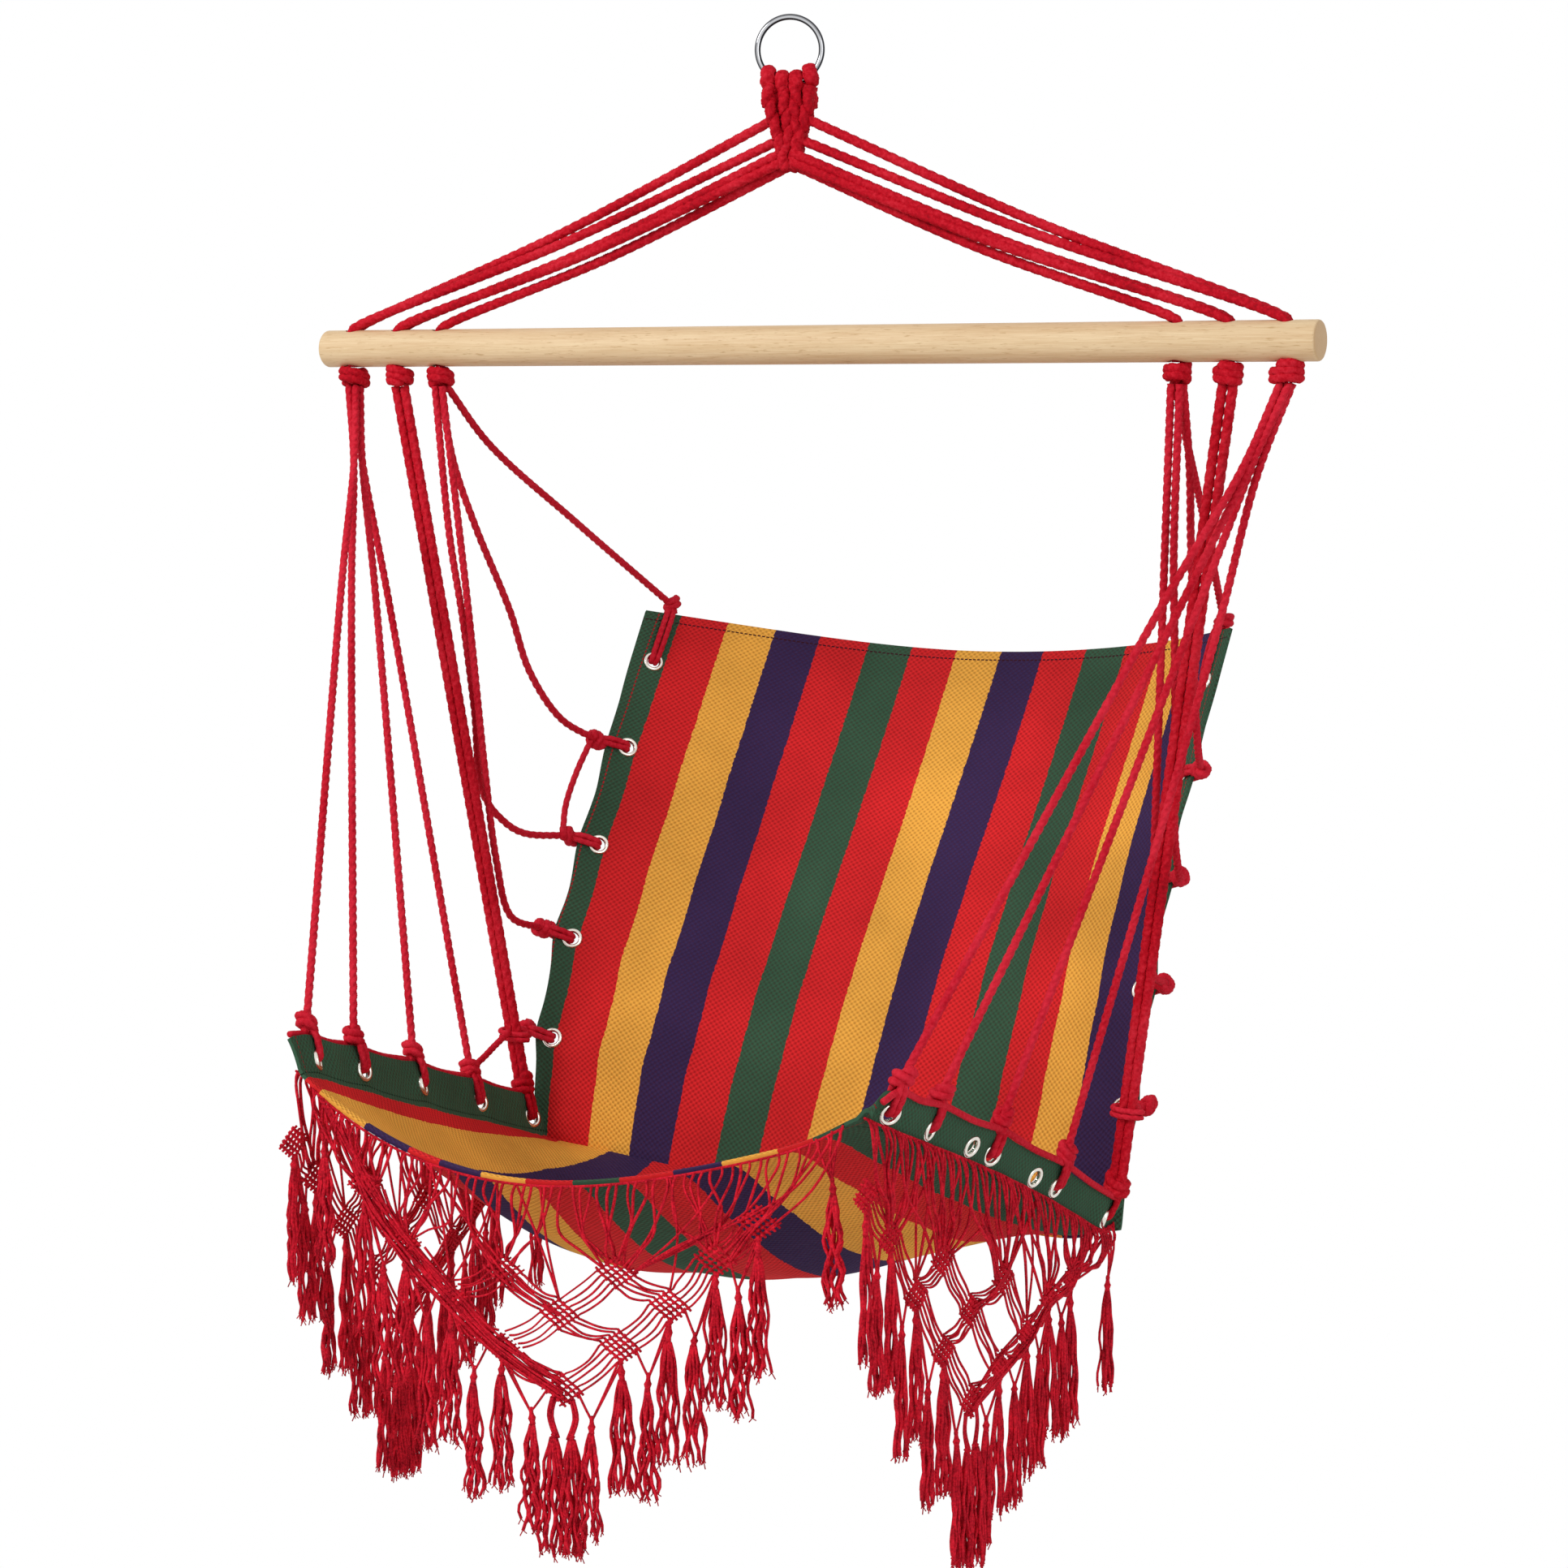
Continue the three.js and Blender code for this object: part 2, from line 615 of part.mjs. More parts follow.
// Back ties: a short cord on each side that ties the lowest back eyelet to a knot bearing on the rear rope
function addBackTies() {
  const index = backEyeletShares.length - 1;
  for (const side of [-1, 1]) {
    const knot = backKnotPlace(side, index);
    const top = rearRopeTop(side);
    const foot = rearRopeFoot(side);
    const ropeKnot = top.clone().lerp(foot, (knot.z - top.z) / (foot.z - top.z));
    ropeKnot.y += ropeRadius + edgeKnotRadius * 0.6;
    const pieces = [knotBall(knot, edgeKnotDiameter), tieLoop(backEyelet(side, index), knot)];
    pieces.push(knotBall(ropeKnot, edgeKnotDiameter), ropeAlong([knot, ropeKnot], cordRadius, 1));
    const room = joined(rearStrands(side, ropeRadius + runningGap));
    addPiece(`back_tie_${side < 0 ? "left" : "right"}`, geometryOf(joined(pieces).subtract(room)), ropeRed());
  }
}

// Fringe: strings from a heading cord gather at knots in a net that comes to a point, with tassels along its foot.
// A column is counted from the point of the net, and a row is a share of the net's depth.
function fringeNet(base, apexShare, endColumns, depth) {
  const columnShare = (column) => column < 0
    ? apexShare + column * apexShare / endColumns[0]
    : apexShare + column * (1 - apexShare) / endColumns[1];
  const at = (column, rowShare) => base(columnShare(column)).add(point(0, 0, -depth * rowShare));
  const footShare = (column) => {
    const whole = Math.min(Math.floor(Math.abs(column)), rowShares.length - 2);
    return THREE.MathUtils.lerp(rowShares[whole], rowShares[whole + 1], Math.abs(column) - whole);
  };
  return { at, footShare, columnShare };
}

function stringBetween(start, end, radius) {
  return ropeAlong([start, end], radius, 1, 3);
}

function tasselAt(place) {
  const neck = tasselNeck / 2;
  const wide = tasselWidth / 2;
  const profile = [[0, -tasselLength], [wide, -tasselLength], [neck, 0], [0, 0]];
  return solidOf(turned(profile, 4, place, point(0, 0, 1)));
}

function fringeSolid(base, apexShare, endColumns, depth) {
  const { at, footShare, columnShare } = fringeNet(base, apexShare, endColumns, depth);
  const heading = [];
  const headingSteps = 10;
  for (let step = 0; step <= headingSteps; step++) heading.push(base(step / headingSteps));
  const pieces = [ropeAlong(heading, headingDiameter / 2, headingSteps, 4)];
  const [apex, third, second, first, end] = rowShares;
  const knots = [[0, second], [0, apex]];
  for (const side of [-1, 1]) knots.push([side, first], [side, third], [side * 2, second], [side * 3, first]);
  const links = [];
  for (const side of [-1, 1]) {
    links.push([[side, first], [0, second]], [[side, first], [side * 2, second]]);
    links.push([[side * 3, first], [side * 2, second]], [[0, second], [side, third]]);
    links.push([[side * 2, second], [side, third]], [[side, third], [0, apex]]);
    if (endColumns[side < 0 ? 0 : 1] > 3) {
      links.push([[side * 3, first], [side * 4, end]]);
      knots.push([side * 4, end]);
    }
  }
  const inside = (column) => columnShare(column) > -probeShare && columnShare(column) < 1 + probeShare;
  const fanShares = [-0.55, 0, 0.55];
  for (const [column, row] of knots) {
    pieces.push(knotBall(at(column, row), fringeKnot, 4, 2));
    const shallow = row === first || (row === second && Math.abs(column) !== 0) || row === end;
    const fan = row === first ? fanShares : [0];
    if (!shallow && !(column === 0 && row === second)) continue;
    for (const share of fan) {
      if (inside(column + share)) pieces.push(stringBetween(at(column + share, 0), at(column, row), stringDiameter / 2));
    }
  }
  for (const [from, to] of links) pieces.push(stringBetween(at(...from), at(...to), linkDiameter / 2));
  const tasselStep = 0.72;
  const last = endColumns.map((columns) => Math.floor(columns / tasselStep));
  for (let tassel = -last[0]; tassel <= last[1]; tassel++) {
    const column = tassel * tasselStep;
    pieces.push(tasselAt(at(column, footShare(column)).add(point(0, 0, stringDiameter))));
  }
  return joined(pieces);
}

const fringeStandOff = clothThickness / 2 + gap + headingDiameter / 2;

function addFringes() {
  const frontBase = (share) => seatAt(frontSpanShare * seatFoldShare * (2 * share - 1), 0).add(point(0, -gap - headingDiameter / 2, 0));
  addPiece("front_fringe", geometryOf(fringeSolid(frontBase, frontApexShare, [4, 4], frontFringeDepth)), cottonRed());
  for (const side of [-1, 1]) {
    const base = (share) => {
      const rise = headingDiameter * bandShare / bandHeight;
      return seatAt(side * (seatFoldShare + rise), share).add(point(side * (fringeStandOff + gap), 0, 0));
    };
    const name = `side_fringe_${side < 0 ? "left" : "right"}`;
    addPiece(name, geometryOf(fringeSolid(base, sideApexShare, [3, 4], sideFringeDepth)), cottonRed());
  }
}

addRing();
addWraps();
addHangerKnot();
addBar();
addUpperRopes();
addStopperKnots();
addPanels();
addEyelets();
addEdgeRopes();
addSeatCords();
addRearRopes();
addBackCords();
addBackTies();
addFringes();

export default chair;
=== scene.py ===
import functools
import math
import random

import bmesh
import bpy
import numpy as np
from mathutils import Matrix, Vector


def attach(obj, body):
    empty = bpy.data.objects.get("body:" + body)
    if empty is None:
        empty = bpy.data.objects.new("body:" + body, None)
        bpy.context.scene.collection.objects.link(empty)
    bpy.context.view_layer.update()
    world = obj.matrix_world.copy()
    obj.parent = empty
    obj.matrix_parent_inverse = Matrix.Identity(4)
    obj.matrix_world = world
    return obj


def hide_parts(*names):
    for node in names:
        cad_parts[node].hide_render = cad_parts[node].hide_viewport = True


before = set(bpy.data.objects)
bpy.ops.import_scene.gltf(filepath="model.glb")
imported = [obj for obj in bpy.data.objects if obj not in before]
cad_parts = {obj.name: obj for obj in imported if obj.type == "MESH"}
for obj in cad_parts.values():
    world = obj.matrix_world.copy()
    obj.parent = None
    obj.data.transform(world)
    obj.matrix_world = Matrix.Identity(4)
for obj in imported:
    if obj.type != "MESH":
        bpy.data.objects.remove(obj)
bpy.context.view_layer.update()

# Camera
# The picture is taken from the sitter's left and a little above, with a long lens that sees the ring at the
# top edge and the lowest tassels at the bottom edge of a square frame.
PHOTO_PIXELS = 1932
SHIFT_PIXELS = (-7, -8)
camera_data = bpy.data.cameras.new("picture_camera")
camera = bpy.data.objects.new("picture_camera", camera_data)
bpy.context.scene.collection.objects.link(camera)
bpy.context.scene.camera = camera
camera_place = Vector((1.528, -2.923, -0.341))
camera_aim = Vector((0.0, 0.0, -0.677))
camera.location = camera_place
camera.rotation_euler = (camera_aim - camera_place).to_track_quat("-Z", "Y").to_euler()
camera_data.sensor_width = 36.0
camera_data.lens = 83.85
camera_data.shift_x = SHIFT_PIXELS[0] / PHOTO_PIXELS
camera_data.shift_y = SHIFT_PIXELS[1] / PHOTO_PIXELS
camera_data.clip_end = 60.0

# Hanging ring
# A welded ring of 5.4 mm round steel wire, 63 mm outside, with bright chrome plating. It bears on a hook at
# the inside of its top, and the rope is looped round its bottom.
RING_RADIUS = 0.0288
RING_WIRE = 0.0027
RING_TURN = math.radians(20)
RING_DROP = 0.0261


def srgb(code):
    """A hex colour as linear values with full alpha."""
    parts = [int(code[i : i + 2], 16) / 255 for i in (0, 2, 4)]
    line = [c / 12.92 if c <= 0.04045 else ((c + 0.055) / 1.055) ** 2.4 for c in parts]
    return (*line, 1.0)


def feed(node, values):
    """Sets a node's inputs, by name or number, to a value, an output, or another node's first output."""
    for place, value in values.items():
        source = value.outputs[0] if isinstance(value, bpy.types.Node) else value
        if isinstance(source, bpy.types.NodeSocket):
            node.id_data.links.new(source, node.inputs[place])
        else:
            node.inputs[place].default_value = source


def add_node(tree, kind, values=None, stops=(), **settings):
    """Adds one node with its settings, its inputs and, on a ramp, its stops as places and hex colours."""
    made = tree.nodes.new("ShaderNode" + kind)
    for name, setting in settings.items():
        setattr(made, name, setting)
    feed(made, values or {})
    for index, (place, code) in enumerate(stops):
        elements = made.color_ramp.elements
        stop = elements[index] if index < 2 else elements.new(place)
        stop.position = place
        stop.color = srgb(code)
    return made


def new_finish(name):
    """A material, add_node for its own tree, and its surface shader."""
    finish = bpy.data.materials.new(name)
    finish.use_nodes = True
    tree = finish.node_tree
    return finish, functools.partial(add_node, tree), tree.nodes["Principled BSDF"]


def piece_from(bm, name, finish, smooth=True):
    """An object at the origin with the mesh and one finish."""
    mesh = bpy.data.meshes.new(name)
    bm.to_mesh(mesh)
    bm.free()
    mesh.materials.append(finish)
    if smooth:
        mesh.polygons.foreach_set("use_smooth", [True] * len(mesh.polygons))
    piece = bpy.data.objects.new(name, mesh)
    bpy.context.scene.collection.objects.link(piece)
    return piece


# Chrome plate on drawn wire: a mirror with very fine polishing lines, about 1 mm apart, and painted
# reflections:
# dark on its inner side and towards its outer rim. The bands follow the distance from the ring's centre.
polish_lines = 900.0
chrome, node, shader = new_finish("chrome_plated_wire")
spot = node("TexCoord").outputs["Object"]
lines = node("TexNoise", {"Vector": spot, "Scale": polish_lines, "Detail": 3.0})
wear = node("MapRange", {"Value": lines, "To Min": 0.06, "To Max": 0.16})
from_centre = node("VectorMath", {0: spot, 1: (0, 0, RING_DROP)}, operation="ADD")
reach = node("VectorMath", {0: from_centre}, operation="LENGTH").outputs["Value"]
inner, outer = RING_RADIUS - 0.0028, RING_RADIUS + 0.0028
band = node("MapRange", {"Value": reach, "From Min": inner, "From Max": outer})
# Painted reflections: the wire's colour is dark on its inner side and outer rim and light between
painted_reflection_tones = [(0.24, "26262A"), (0.46, "DADBDE"), (0.84, "2C2D32")]
painted_reflection = node("ValToRGB", {"Fac": band}, painted_reflection_tones)
feed(shader, {"Base Color": painted_reflection, "Roughness": wear, "Metallic": 1.0})

bm = bmesh.new()
bmesh.ops.create_circle(bm, segments=24, radius=RING_WIRE)
bmesh.ops.translate(bm, verts=bm.verts, vec=(RING_RADIUS, 0, 0))
wire = bm.verts[:] + bm.edges[:]
bmesh.ops.spin(bm, geom=wire, axis=(0, 1, 0), cent=(0, 0, 0), angle=math.tau, steps=96, use_merge=True)
bmesh.ops.remove_doubles(bm, verts=bm.verts, dist=1e-6)
bmesh.ops.recalc_face_normals(bm, faces=bm.faces)
bmesh.ops.rotate(bm, verts=bm.verts, cent=(0, 0, 0), matrix=Matrix.Rotation(RING_TURN, 3, "Z"))
bmesh.ops.translate(bm, verts=bm.verts, vec=(0, 0, -RING_DROP))
ring = piece_from(bm, "ring_wire", chrome)
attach(ring, "ring")
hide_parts("hanging_ring")

# Rope wraps on the ring
# The 9.5 mm rope of the hanger goes four times over the bottom of the ring. It is red cotton, laid from
# three strands, and each strand is spun from coarse yarns that show as slanting lines.
ROPE = 0.00475
CORD = 0.00375
ROPE_LAY = 0.031
CORD_LAY = 0.025
# A real yarn is about 2 mm wide. That is too fine to show in the render, so it is drawn 5 mm wide.
YARN_WIDTH = 0.0050

rng = random.Random(7)


def stray(most):
    """A random length of up to most to either side."""
    return rng.uniform(-most, most)


def upward(height):
    return Vector((0, 0, height))


def laid_material(name, radius, slant, groove, yarn_floor, tones):
    """Cotton rope: matt, with painted shade between the strands and between the yarns, and a painted
    highlight on each yarn's crest.

    A noise of about 70 mm gives the uneven dye, and one of 3 mm the short fibres that stand off the yarns.
    """
    finish, node, shader = new_finish(name)
    parts = node("SeparateXYZ", {0: node("UVMap", uv_map="UVMap")})
    metres, turn = parts.outputs["X"], parts.outputs["Y"]
    half_turns = node("Math", {0: turn, 1: 3 * math.pi}, operation="MULTIPLY")
    crest = node("Math", {0: half_turns}, operation="COSINE")
    depth = node("Math", {0: crest}, operation="ABSOLUTE")
    rise = node("Math", {0: depth, 1: groove}, operation="POWER")
    around = node("Math", {0: turn, 1: math.tau * radius}, operation="MULTIPLY")
    run = node("Math", {0: metres, 1: slant}, operation="MULTIPLY")
    across = node("Math", {0: around, 1: run}, operation="ADD")
    phase = node("Math", {0: across, 1: math.tau / YARN_WIDTH}, operation="MULTIPLY")
    wave = node("Math", {0: phase}, operation="SINE")
    yarn = node("MapRange", {"Value": wave, "From Min": -1.0, "To Min": yarn_floor})
    # Painted shade in the grooves between strands and yarns and painted highlight on the yarns' crests; the
    # same pattern drives the bump
    lit = node("Math", {0: rise, 1: yarn}, operation="MULTIPLY")
    spot = node("TexCoord").outputs["Object"]
    uneven = []
    for scale, detail, low, high in ((14.0, 3.0, -0.16, 0.1), (320.0, 4.0, -0.14, 0.14)):
        noise = node("TexNoise", {"Vector": spot, "Scale": scale, "Detail": detail})
        limits = {"From Min": 0.3, "From Max": 0.7, "To Min": low, "To Max": high}
        uneven.append(node("MapRange", {"Value": noise, **limits}))
    stain = node("Math", {0: uneven[0], 1: uneven[1]}, operation="ADD")
    tone = node("Math", {0: lit, 1: stain}, operation="ADD")
    height = node("Math", {0: lit, 1: uneven[1]}, operation="ADD")
    feed(shader, {
        "Base Color": node("ValToRGB", {"Fac": tone}, tones),
        "Normal": node("Bump", {"Height": height, "Strength": 1.0, "Distance": 0.0012}),
        "Roughness": 0.7,
        "Specular IOR Level": 0.1,
    })
    return finish


# The tones run from the painted shade between the strands to the painted highlight on the yarns' crests
rope_tones = [(0.0, "340006"), (0.2, "840313"), (0.5, "C20A20"), (0.92, "EA3446")]
rope_cotton = laid_material("red_laid_cotton_rope", ROPE, 1.0, 0.9, 0.15, rope_tones)
cord_tones = [(0.0, "3A0006"), (0.28, "8A0315"), (0.62, "BE0A22"), (0.97, "DE2A3E")]
cord_cotton = laid_material("red_laid_cotton_cord", CORD, 0.5, 1.3, 0.65, cord_tones)


def even_path(points, step):
    """A smooth line through the points, in even steps: the same kind of curve as the solids follow."""
    knots = [Vector(p) for p in points]
    if len(knots) == 2:
        count = max(2, round((knots[1] - knots[0]).length / step))
        return [knots[0].lerp(knots[1], i / count) for i in range(count + 1)]
    ends = [2 * knots[0] - knots[1], *knots, 2 * knots[-1] - knots[-2]]
    dense = []
    for a, b, c, d in zip(ends, ends[1:], ends[2:], ends[3:]):
        t = [0.0]
        for p, q in ((a, b), (b, c), (c, d)):
            t.append(t[-1] + max((q - p).length, 1e-7) ** 0.5)
        for i in range(24):
            s = t[1] + (t[2] - t[1]) * i / 24
            e = a.lerp(b, (s - t[0]) / (t[1] - t[0]))
            f = b.lerp(c, (s - t[1]) / (t[2] - t[1]))
            g = c.lerp(d, (s - t[2]) / (t[3] - t[2]))
            h = e.lerp(f, (s - t[0]) / (t[2] - t[0]))
            k = f.lerp(g, (s - t[1]) / (t[3] - t[1]))
            dense.append(h.lerp(k, (s - t[1]) / (t[2] - t[1])))
    dense.append(knots[-1])
    run = [0.0]
    for p, q in zip(dense, dense[1:]):
        run.append(run[-1] + (q - p).length)
    count = max(2, round(run[-1] / step))
    line = []
    j = 0
    for i in range(count + 1):
        far = run[-1] * i / count
        while j < len(run) - 2 and run[j + 1] < far:
            j += 1
        line.append(dense[j].lerp(dense[j + 1], (far - run[j]) / max(run[j + 1] - run[j], 1e-9)))
    return line


def directions(line):
    """The direction of a line at each of its points."""
    last = len(line) - 1
    return [(line[min(i + 1, last)] - line[max(i - 1, 0)]).normalized() for i in range(len(line))]


def skin(bm, rings):
    """Joins rings of points to a closed tube and gives its side faces, ring by ring."""
    count = len(rings[0])
    faces = []
    for near, far in zip(rings, rings[1:]):
        for k in range(count):
            n = (k + 1) % count
            faces.append(bm.faces.new((near[k], near[n], far[n], far[k])))
    bm.faces.new(list(reversed(rings[0])))
    bm.faces.new(rings[-1])
    return faces


def share_at(table, place):
    """The value at a place in a table of places and values."""
    for (a, x), (b, y) in zip(table, table[1:]):
        if place <= b:
            return x + (y - x) * (place - a) / (b - a)
    return table[-1][1]


def add_rope(bm, points, radius, sides=15, phase=0.0, lay=None, depth=0.22, wide=None, shares=None):
    """Adds a tube of three twisted strands along the points. Its UV runs in metres along and in turns round.

    wide gives a direction in which the section is flattened, and by how much. shares scales it along its run.
    """
    uv = bm.loops.layers.uv.verify()
    line = even_path(points, radius * 0.55)
    lay = lay or (ROPE_LAY if radius > CORD * 1.1 else CORD_LAY)
    tangents = directions(line)
    side = tangents[0].orthogonal().normalized()
    rings = []
    metres = []
    far = 0.0
    for i, (place, tangent) in enumerate(zip(line, tangents)):
        side = (side - tangent * side.dot(tangent)).normalized()
        other = tangent.cross(side)
        if i:
            far += (place - line[i - 1]).length
        turn = phase + math.tau * far / lay
        scale = share_at(shares, i / (len(line) - 1)) if shares else 1.0
        ring = []
        for k in range(sides):
            angle = math.tau * k / sides
            slope = (angle + math.pi / 3) % (math.tau / 3) - math.pi / 3
            reach = radius * scale * (1 - depth + depth * math.cos(1.5 * slope) ** 0.75)
            spread = (side * math.cos(angle + turn) + other * math.sin(angle + turn)) * reach
            if wide:
                spread += wide[0] * spread.dot(wide[0]) * (wide[1] - 1)
            ring.append(bm.verts.new(place + spread))
        rings.append(ring)
        metres.append(far)
    for index, face in enumerate(skin(bm, rings)):
        step, k = divmod(index, sides)
        a, b = metres[step], metres[step + 1]
        for loop, place in zip(face.loops, ((a, k), (a, k + 1), (b, k + 1), (b, k))):
            loop[uv].uv = (place[0], place[1] / sides)
    return line


def line_length(line):
    return sum((b - a).length for a, b in zip(line, line[1:]))


ring_along = Vector((math.cos(RING_TURN), math.sin(RING_TURN), 0))
ring_out = Vector((-math.sin(RING_TURN), math.cos(RING_TURN), 0))
# Each wrap's place along the ring, how far it has climbed the wire, and its lean
ring_wraps = [
    (-0.0192, 0.0050, 0.10),
    (-0.0066, 0.0006, 0.02),
    (0.0062, 0.0008, -0.04),
    (0.0188, 0.0064, -0.16),
]
WRAP_REACH = RING_WIRE + ROPE * 0.72

bm = bmesh.new()
for place, climb, lean in ring_wraps:
    centre = upward(-RING_DROP - RING_RADIUS + climb) + ring_along * place
    wrap = []
    for i in range(15):
        a = math.tau * i / 13 + 2.6
        aside = ring_along * lean * WRAP_REACH * math.sin(a)
        round_wire = upward(math.sin(a) * WRAP_REACH * 1.05)
        wrap.append(centre + round_wire + ring_out * math.cos(a) * WRAP_REACH + aside)
    add_rope(bm, wrap, ROPE * 0.98, phase=place * 300, wide=(ring_along, 1.5))
wraps = piece_from(bm, "ring_rope_loops", rope_cotton)
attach(wraps, "ring_loops")
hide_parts("ring_loops")

# Hanger knot
# Under the ring the rope is plaited into a tight flat pad. Its four columns close up to three and then two,
# and they turn under at a small rounded foot. Ropes leave it on both sides on their way down.
KNOT_TOP = -0.0585
KNOT_FOOT = -0.1305
COLUMN_SINK = 0.0055
COLUMN_FLAT = 1.06
STITCH_SINK = 0.0052
STITCH_RISE = 0.0040
PLAIT_LAY = 0.024
# Half the pad's width and thickness, by the share of the way down
knot_half = [(0.0, 0.0252), (0.14, 0.0260), (0.35, 0.0222), (0.6, 0.0172), (0.82, 0.0138), (1.0, 0.0112)]
knot_deep = [(0.0, 0.0098), (0.3, 0.0112), (0.7, 0.0088), (1.0, 0.0070)]
# Each column's way down the pad: the share of the height, and the share of the half width to one side
column_routes = [
    [(0.0, -0.76), (0.3, -0.70), (0.62, -0.58), (0.8, -0.50), (0.97, -0.36)],
    [(0.0, -0.26), (0.3, -0.12), (0.62, 0.02), (0.8, -0.34), (0.97, -0.30)],
    [(0.0, 0.25), (0.3, 0.22), (0.62, 0.42), (0.8, 0.36), (0.97, 0.30)],
    [(0.0, 0.76), (0.3, 0.68), (0.62, 0.58), (0.8, 0.52), (0.97, 0.36)],
]
column_swell = [(0.0, 1.04), (0.16, 1.0), (0.5, 0.96), (0.8, 0.98), (1.0, 0.95)]
stitch_swell = [(0.0, 0.75), (0.5, 1.06), (1.0, 0.75)]
# Cores that run from side to side and fill the pad behind its columns
core_rows = [(0.02, 0.78), (0.15, 0.68), (0.28, 0.64), (0.41, 0.62), (0.54, 0.6), (0.67, 0.58), (0.79, 0.55),
             (0.9, 0.5)]


def pad_place(down, share, face, lift):
    """A place on the pad: a share of its height down and of its half width aside, on one face."""
    level = upward(KNOT_TOP + (KNOT_FOOT - KNOT_TOP) * down)
    half = share_at(knot_half, down)
    return level - ring_along * half * share * face + ring_out * face * (share_at(knot_deep, down) + lift)


bm = bmesh.new()
for face in (-1, 1):
    for number, route in enumerate(column_routes):
        column = [pad_place(down, share, face, -COLUMN_SINK) for down, share in route]
        column.append(upward(KNOT_FOOT - 0.0012) + ring_along * column[-1].dot(ring_along) * 0.6)
        add_rope(bm, column, ROPE * 1.14, phase=number + face, wide=(ring_along, COLUMN_FLAT),
                 shares=column_swell, lay=PLAIT_LAY)
        for step in range(5):
            first = step * 0.2 - 0.06 + 0.1 * (number % 2)
            stitch = []
            for i in range(6):
                down = min(max(first + 0.31 * i / 5, 0.0), 0.99)
                lean = 0.16 * (i / 2.5 - 1) * (1 if number < 2 else -1)
                lift = STITCH_RISE * math.sin(math.pi * i / 5) - STITCH_SINK
                stitch.append(pad_place(down, share_at(route, down) - lean, face, lift))
            add_rope(bm, stitch, ROPE * 1.08, phase=number * 2 + step, lay=PLAIT_LAY, shares=stitch_swell)
for down, share in core_rows:
    core = [pad_place(down, share * side, 1, -share_at(knot_deep, down)) for side in (-1, 0, 1)]
    add_rope(bm, core, ROPE * 1.25)
plait = piece_from(bm, "hanger_plait", rope_cotton)
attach(plait, "hanger")
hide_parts("hanger_knot")

# Spreader bar
# A 1 m beech dowel of 35 mm, sanded plain and left without varnish, with its ends rounded over. Three 16 mm
# holes are bored down through it near each end.
BAR_DROP = 0.287
BAR_RADIUS = 0.0175
BAR_HALF = 0.5
BAR_ROUNDING = 0.0026
HOLES = {"outer": 0.47, "middle": 0.418, "inner": 0.372}
HOLE_RADIUS = 0.008
DRILL_LENGTH = 0.05

# Sanded beech: pale and even, with fine lines along the grain, short flecks and a silky, dry surface. The
# sawn ends are darker. Growth rings, grain and flecks are noises drawn out along the bar: about 8 by 150 mm,
# 1 by 36 mm and 1.5 by 11 mm.
growth_stretch = (3.0, 60.0, 60.0)
grain_stretch = (14.0, 420.0, 420.0)
fleck_stretch = (90.0, 700.0, 700.0)
beech, node, shader = new_finish("sanded_beech")
spot = node("TexCoord").outputs["Object"]
drawn = [
    node("Mapping", {"Vector": spot, "Scale": scale})
    for scale in (growth_stretch, grain_stretch, fleck_stretch)
]
soft = {"Scale": 2.2, "Detail": 6.0, "Roughness": 0.6, "Distortion": 0.6}
growth = node("TexNoise", {"Vector": drawn[0], **soft})
grain = node("TexNoise", {"Vector": drawn[1], "Scale": 2.0, "Detail": 5.0, "Roughness": 0.65})
flecks = node("TexNoise", {"Vector": drawn[2], "Scale": 1.0, "Detail": 2.0})
fleck = node("MapRange", {"Value": flecks, "From Min": 0.6, "From Max": 0.78})
both = node("Math", {0: growth, 1: grain}, operation="ADD")
tone = node("Math", {0: both, 1: 0.5}, operation="MULTIPLY")
ramp = node("ValToRGB", {"Fac": tone}, [(0.32, "D3AF82"), (0.68, "EFD5AC")])
wood = node("Mix", {"Factor": fleck, 6: ramp, 7: srgb("C29C6C")}, data_type="RGBA")
along = node("SeparateXYZ", {0: spot}).outputs["X"]
far_out = node("Math", {0: along}, operation="ABSOLUTE")
end_limits = {"From Min": BAR_HALF - 0.0014, "From Max": BAR_HALF - 0.0004, "To Max": 0.75}
end_face = node("MapRange", {"Value": far_out, **end_limits})
cut_end = node("Mix", {"Factor": end_face, 6: wood.outputs[2], 7: srgb("C8A276")}, data_type="RGBA")
feed(shader, {
    "Base Color": cut_end.outputs[2],
    "Normal": node("Bump", {"Height": grain, "Strength": 0.25, "Distance": 0.0004}),
    "Roughness": 0.52,
    "Specular IOR Level": 0.35,
})


def apply_modifiers(piece):
    """Makes what a piece's modifiers give its own mesh."""
    depsgraph = bpy.context.evaluated_depsgraph_get()
    mesh = bpy.data.meshes.new_from_object(piece.evaluated_get(depsgraph))
    piece.modifiers.clear()
    old = piece.data
    piece.data = mesh
    bpy.data.meshes.remove(old)


def cut_away(piece, cutter_bm, sharp):
    """Cuts a set of closed shapes out of a piece, and shades it smooth up to an angle in degrees."""
    mesh = bpy.data.meshes.new("cutter")
    cutter_bm.to_mesh(mesh)
    cutter_bm.free()
    cutter = bpy.data.objects.new("cutter", mesh)
    bpy.context.scene.collection.objects.link(cutter)
    cut = piece.modifiers.new("cut", "BOOLEAN")
    cut.operation = "DIFFERENCE"
    cut.object = cutter
    cut.solver = "EXACT"
    apply_modifiers(piece)
    bpy.data.objects.remove(cutter)
    bpy.data.meshes.remove(mesh)
    piece.data.polygons.foreach_set("use_smooth", [True] * len(piece.data.polygons))
    piece.data.set_sharp_from_angle(angle=math.radians(sharp))


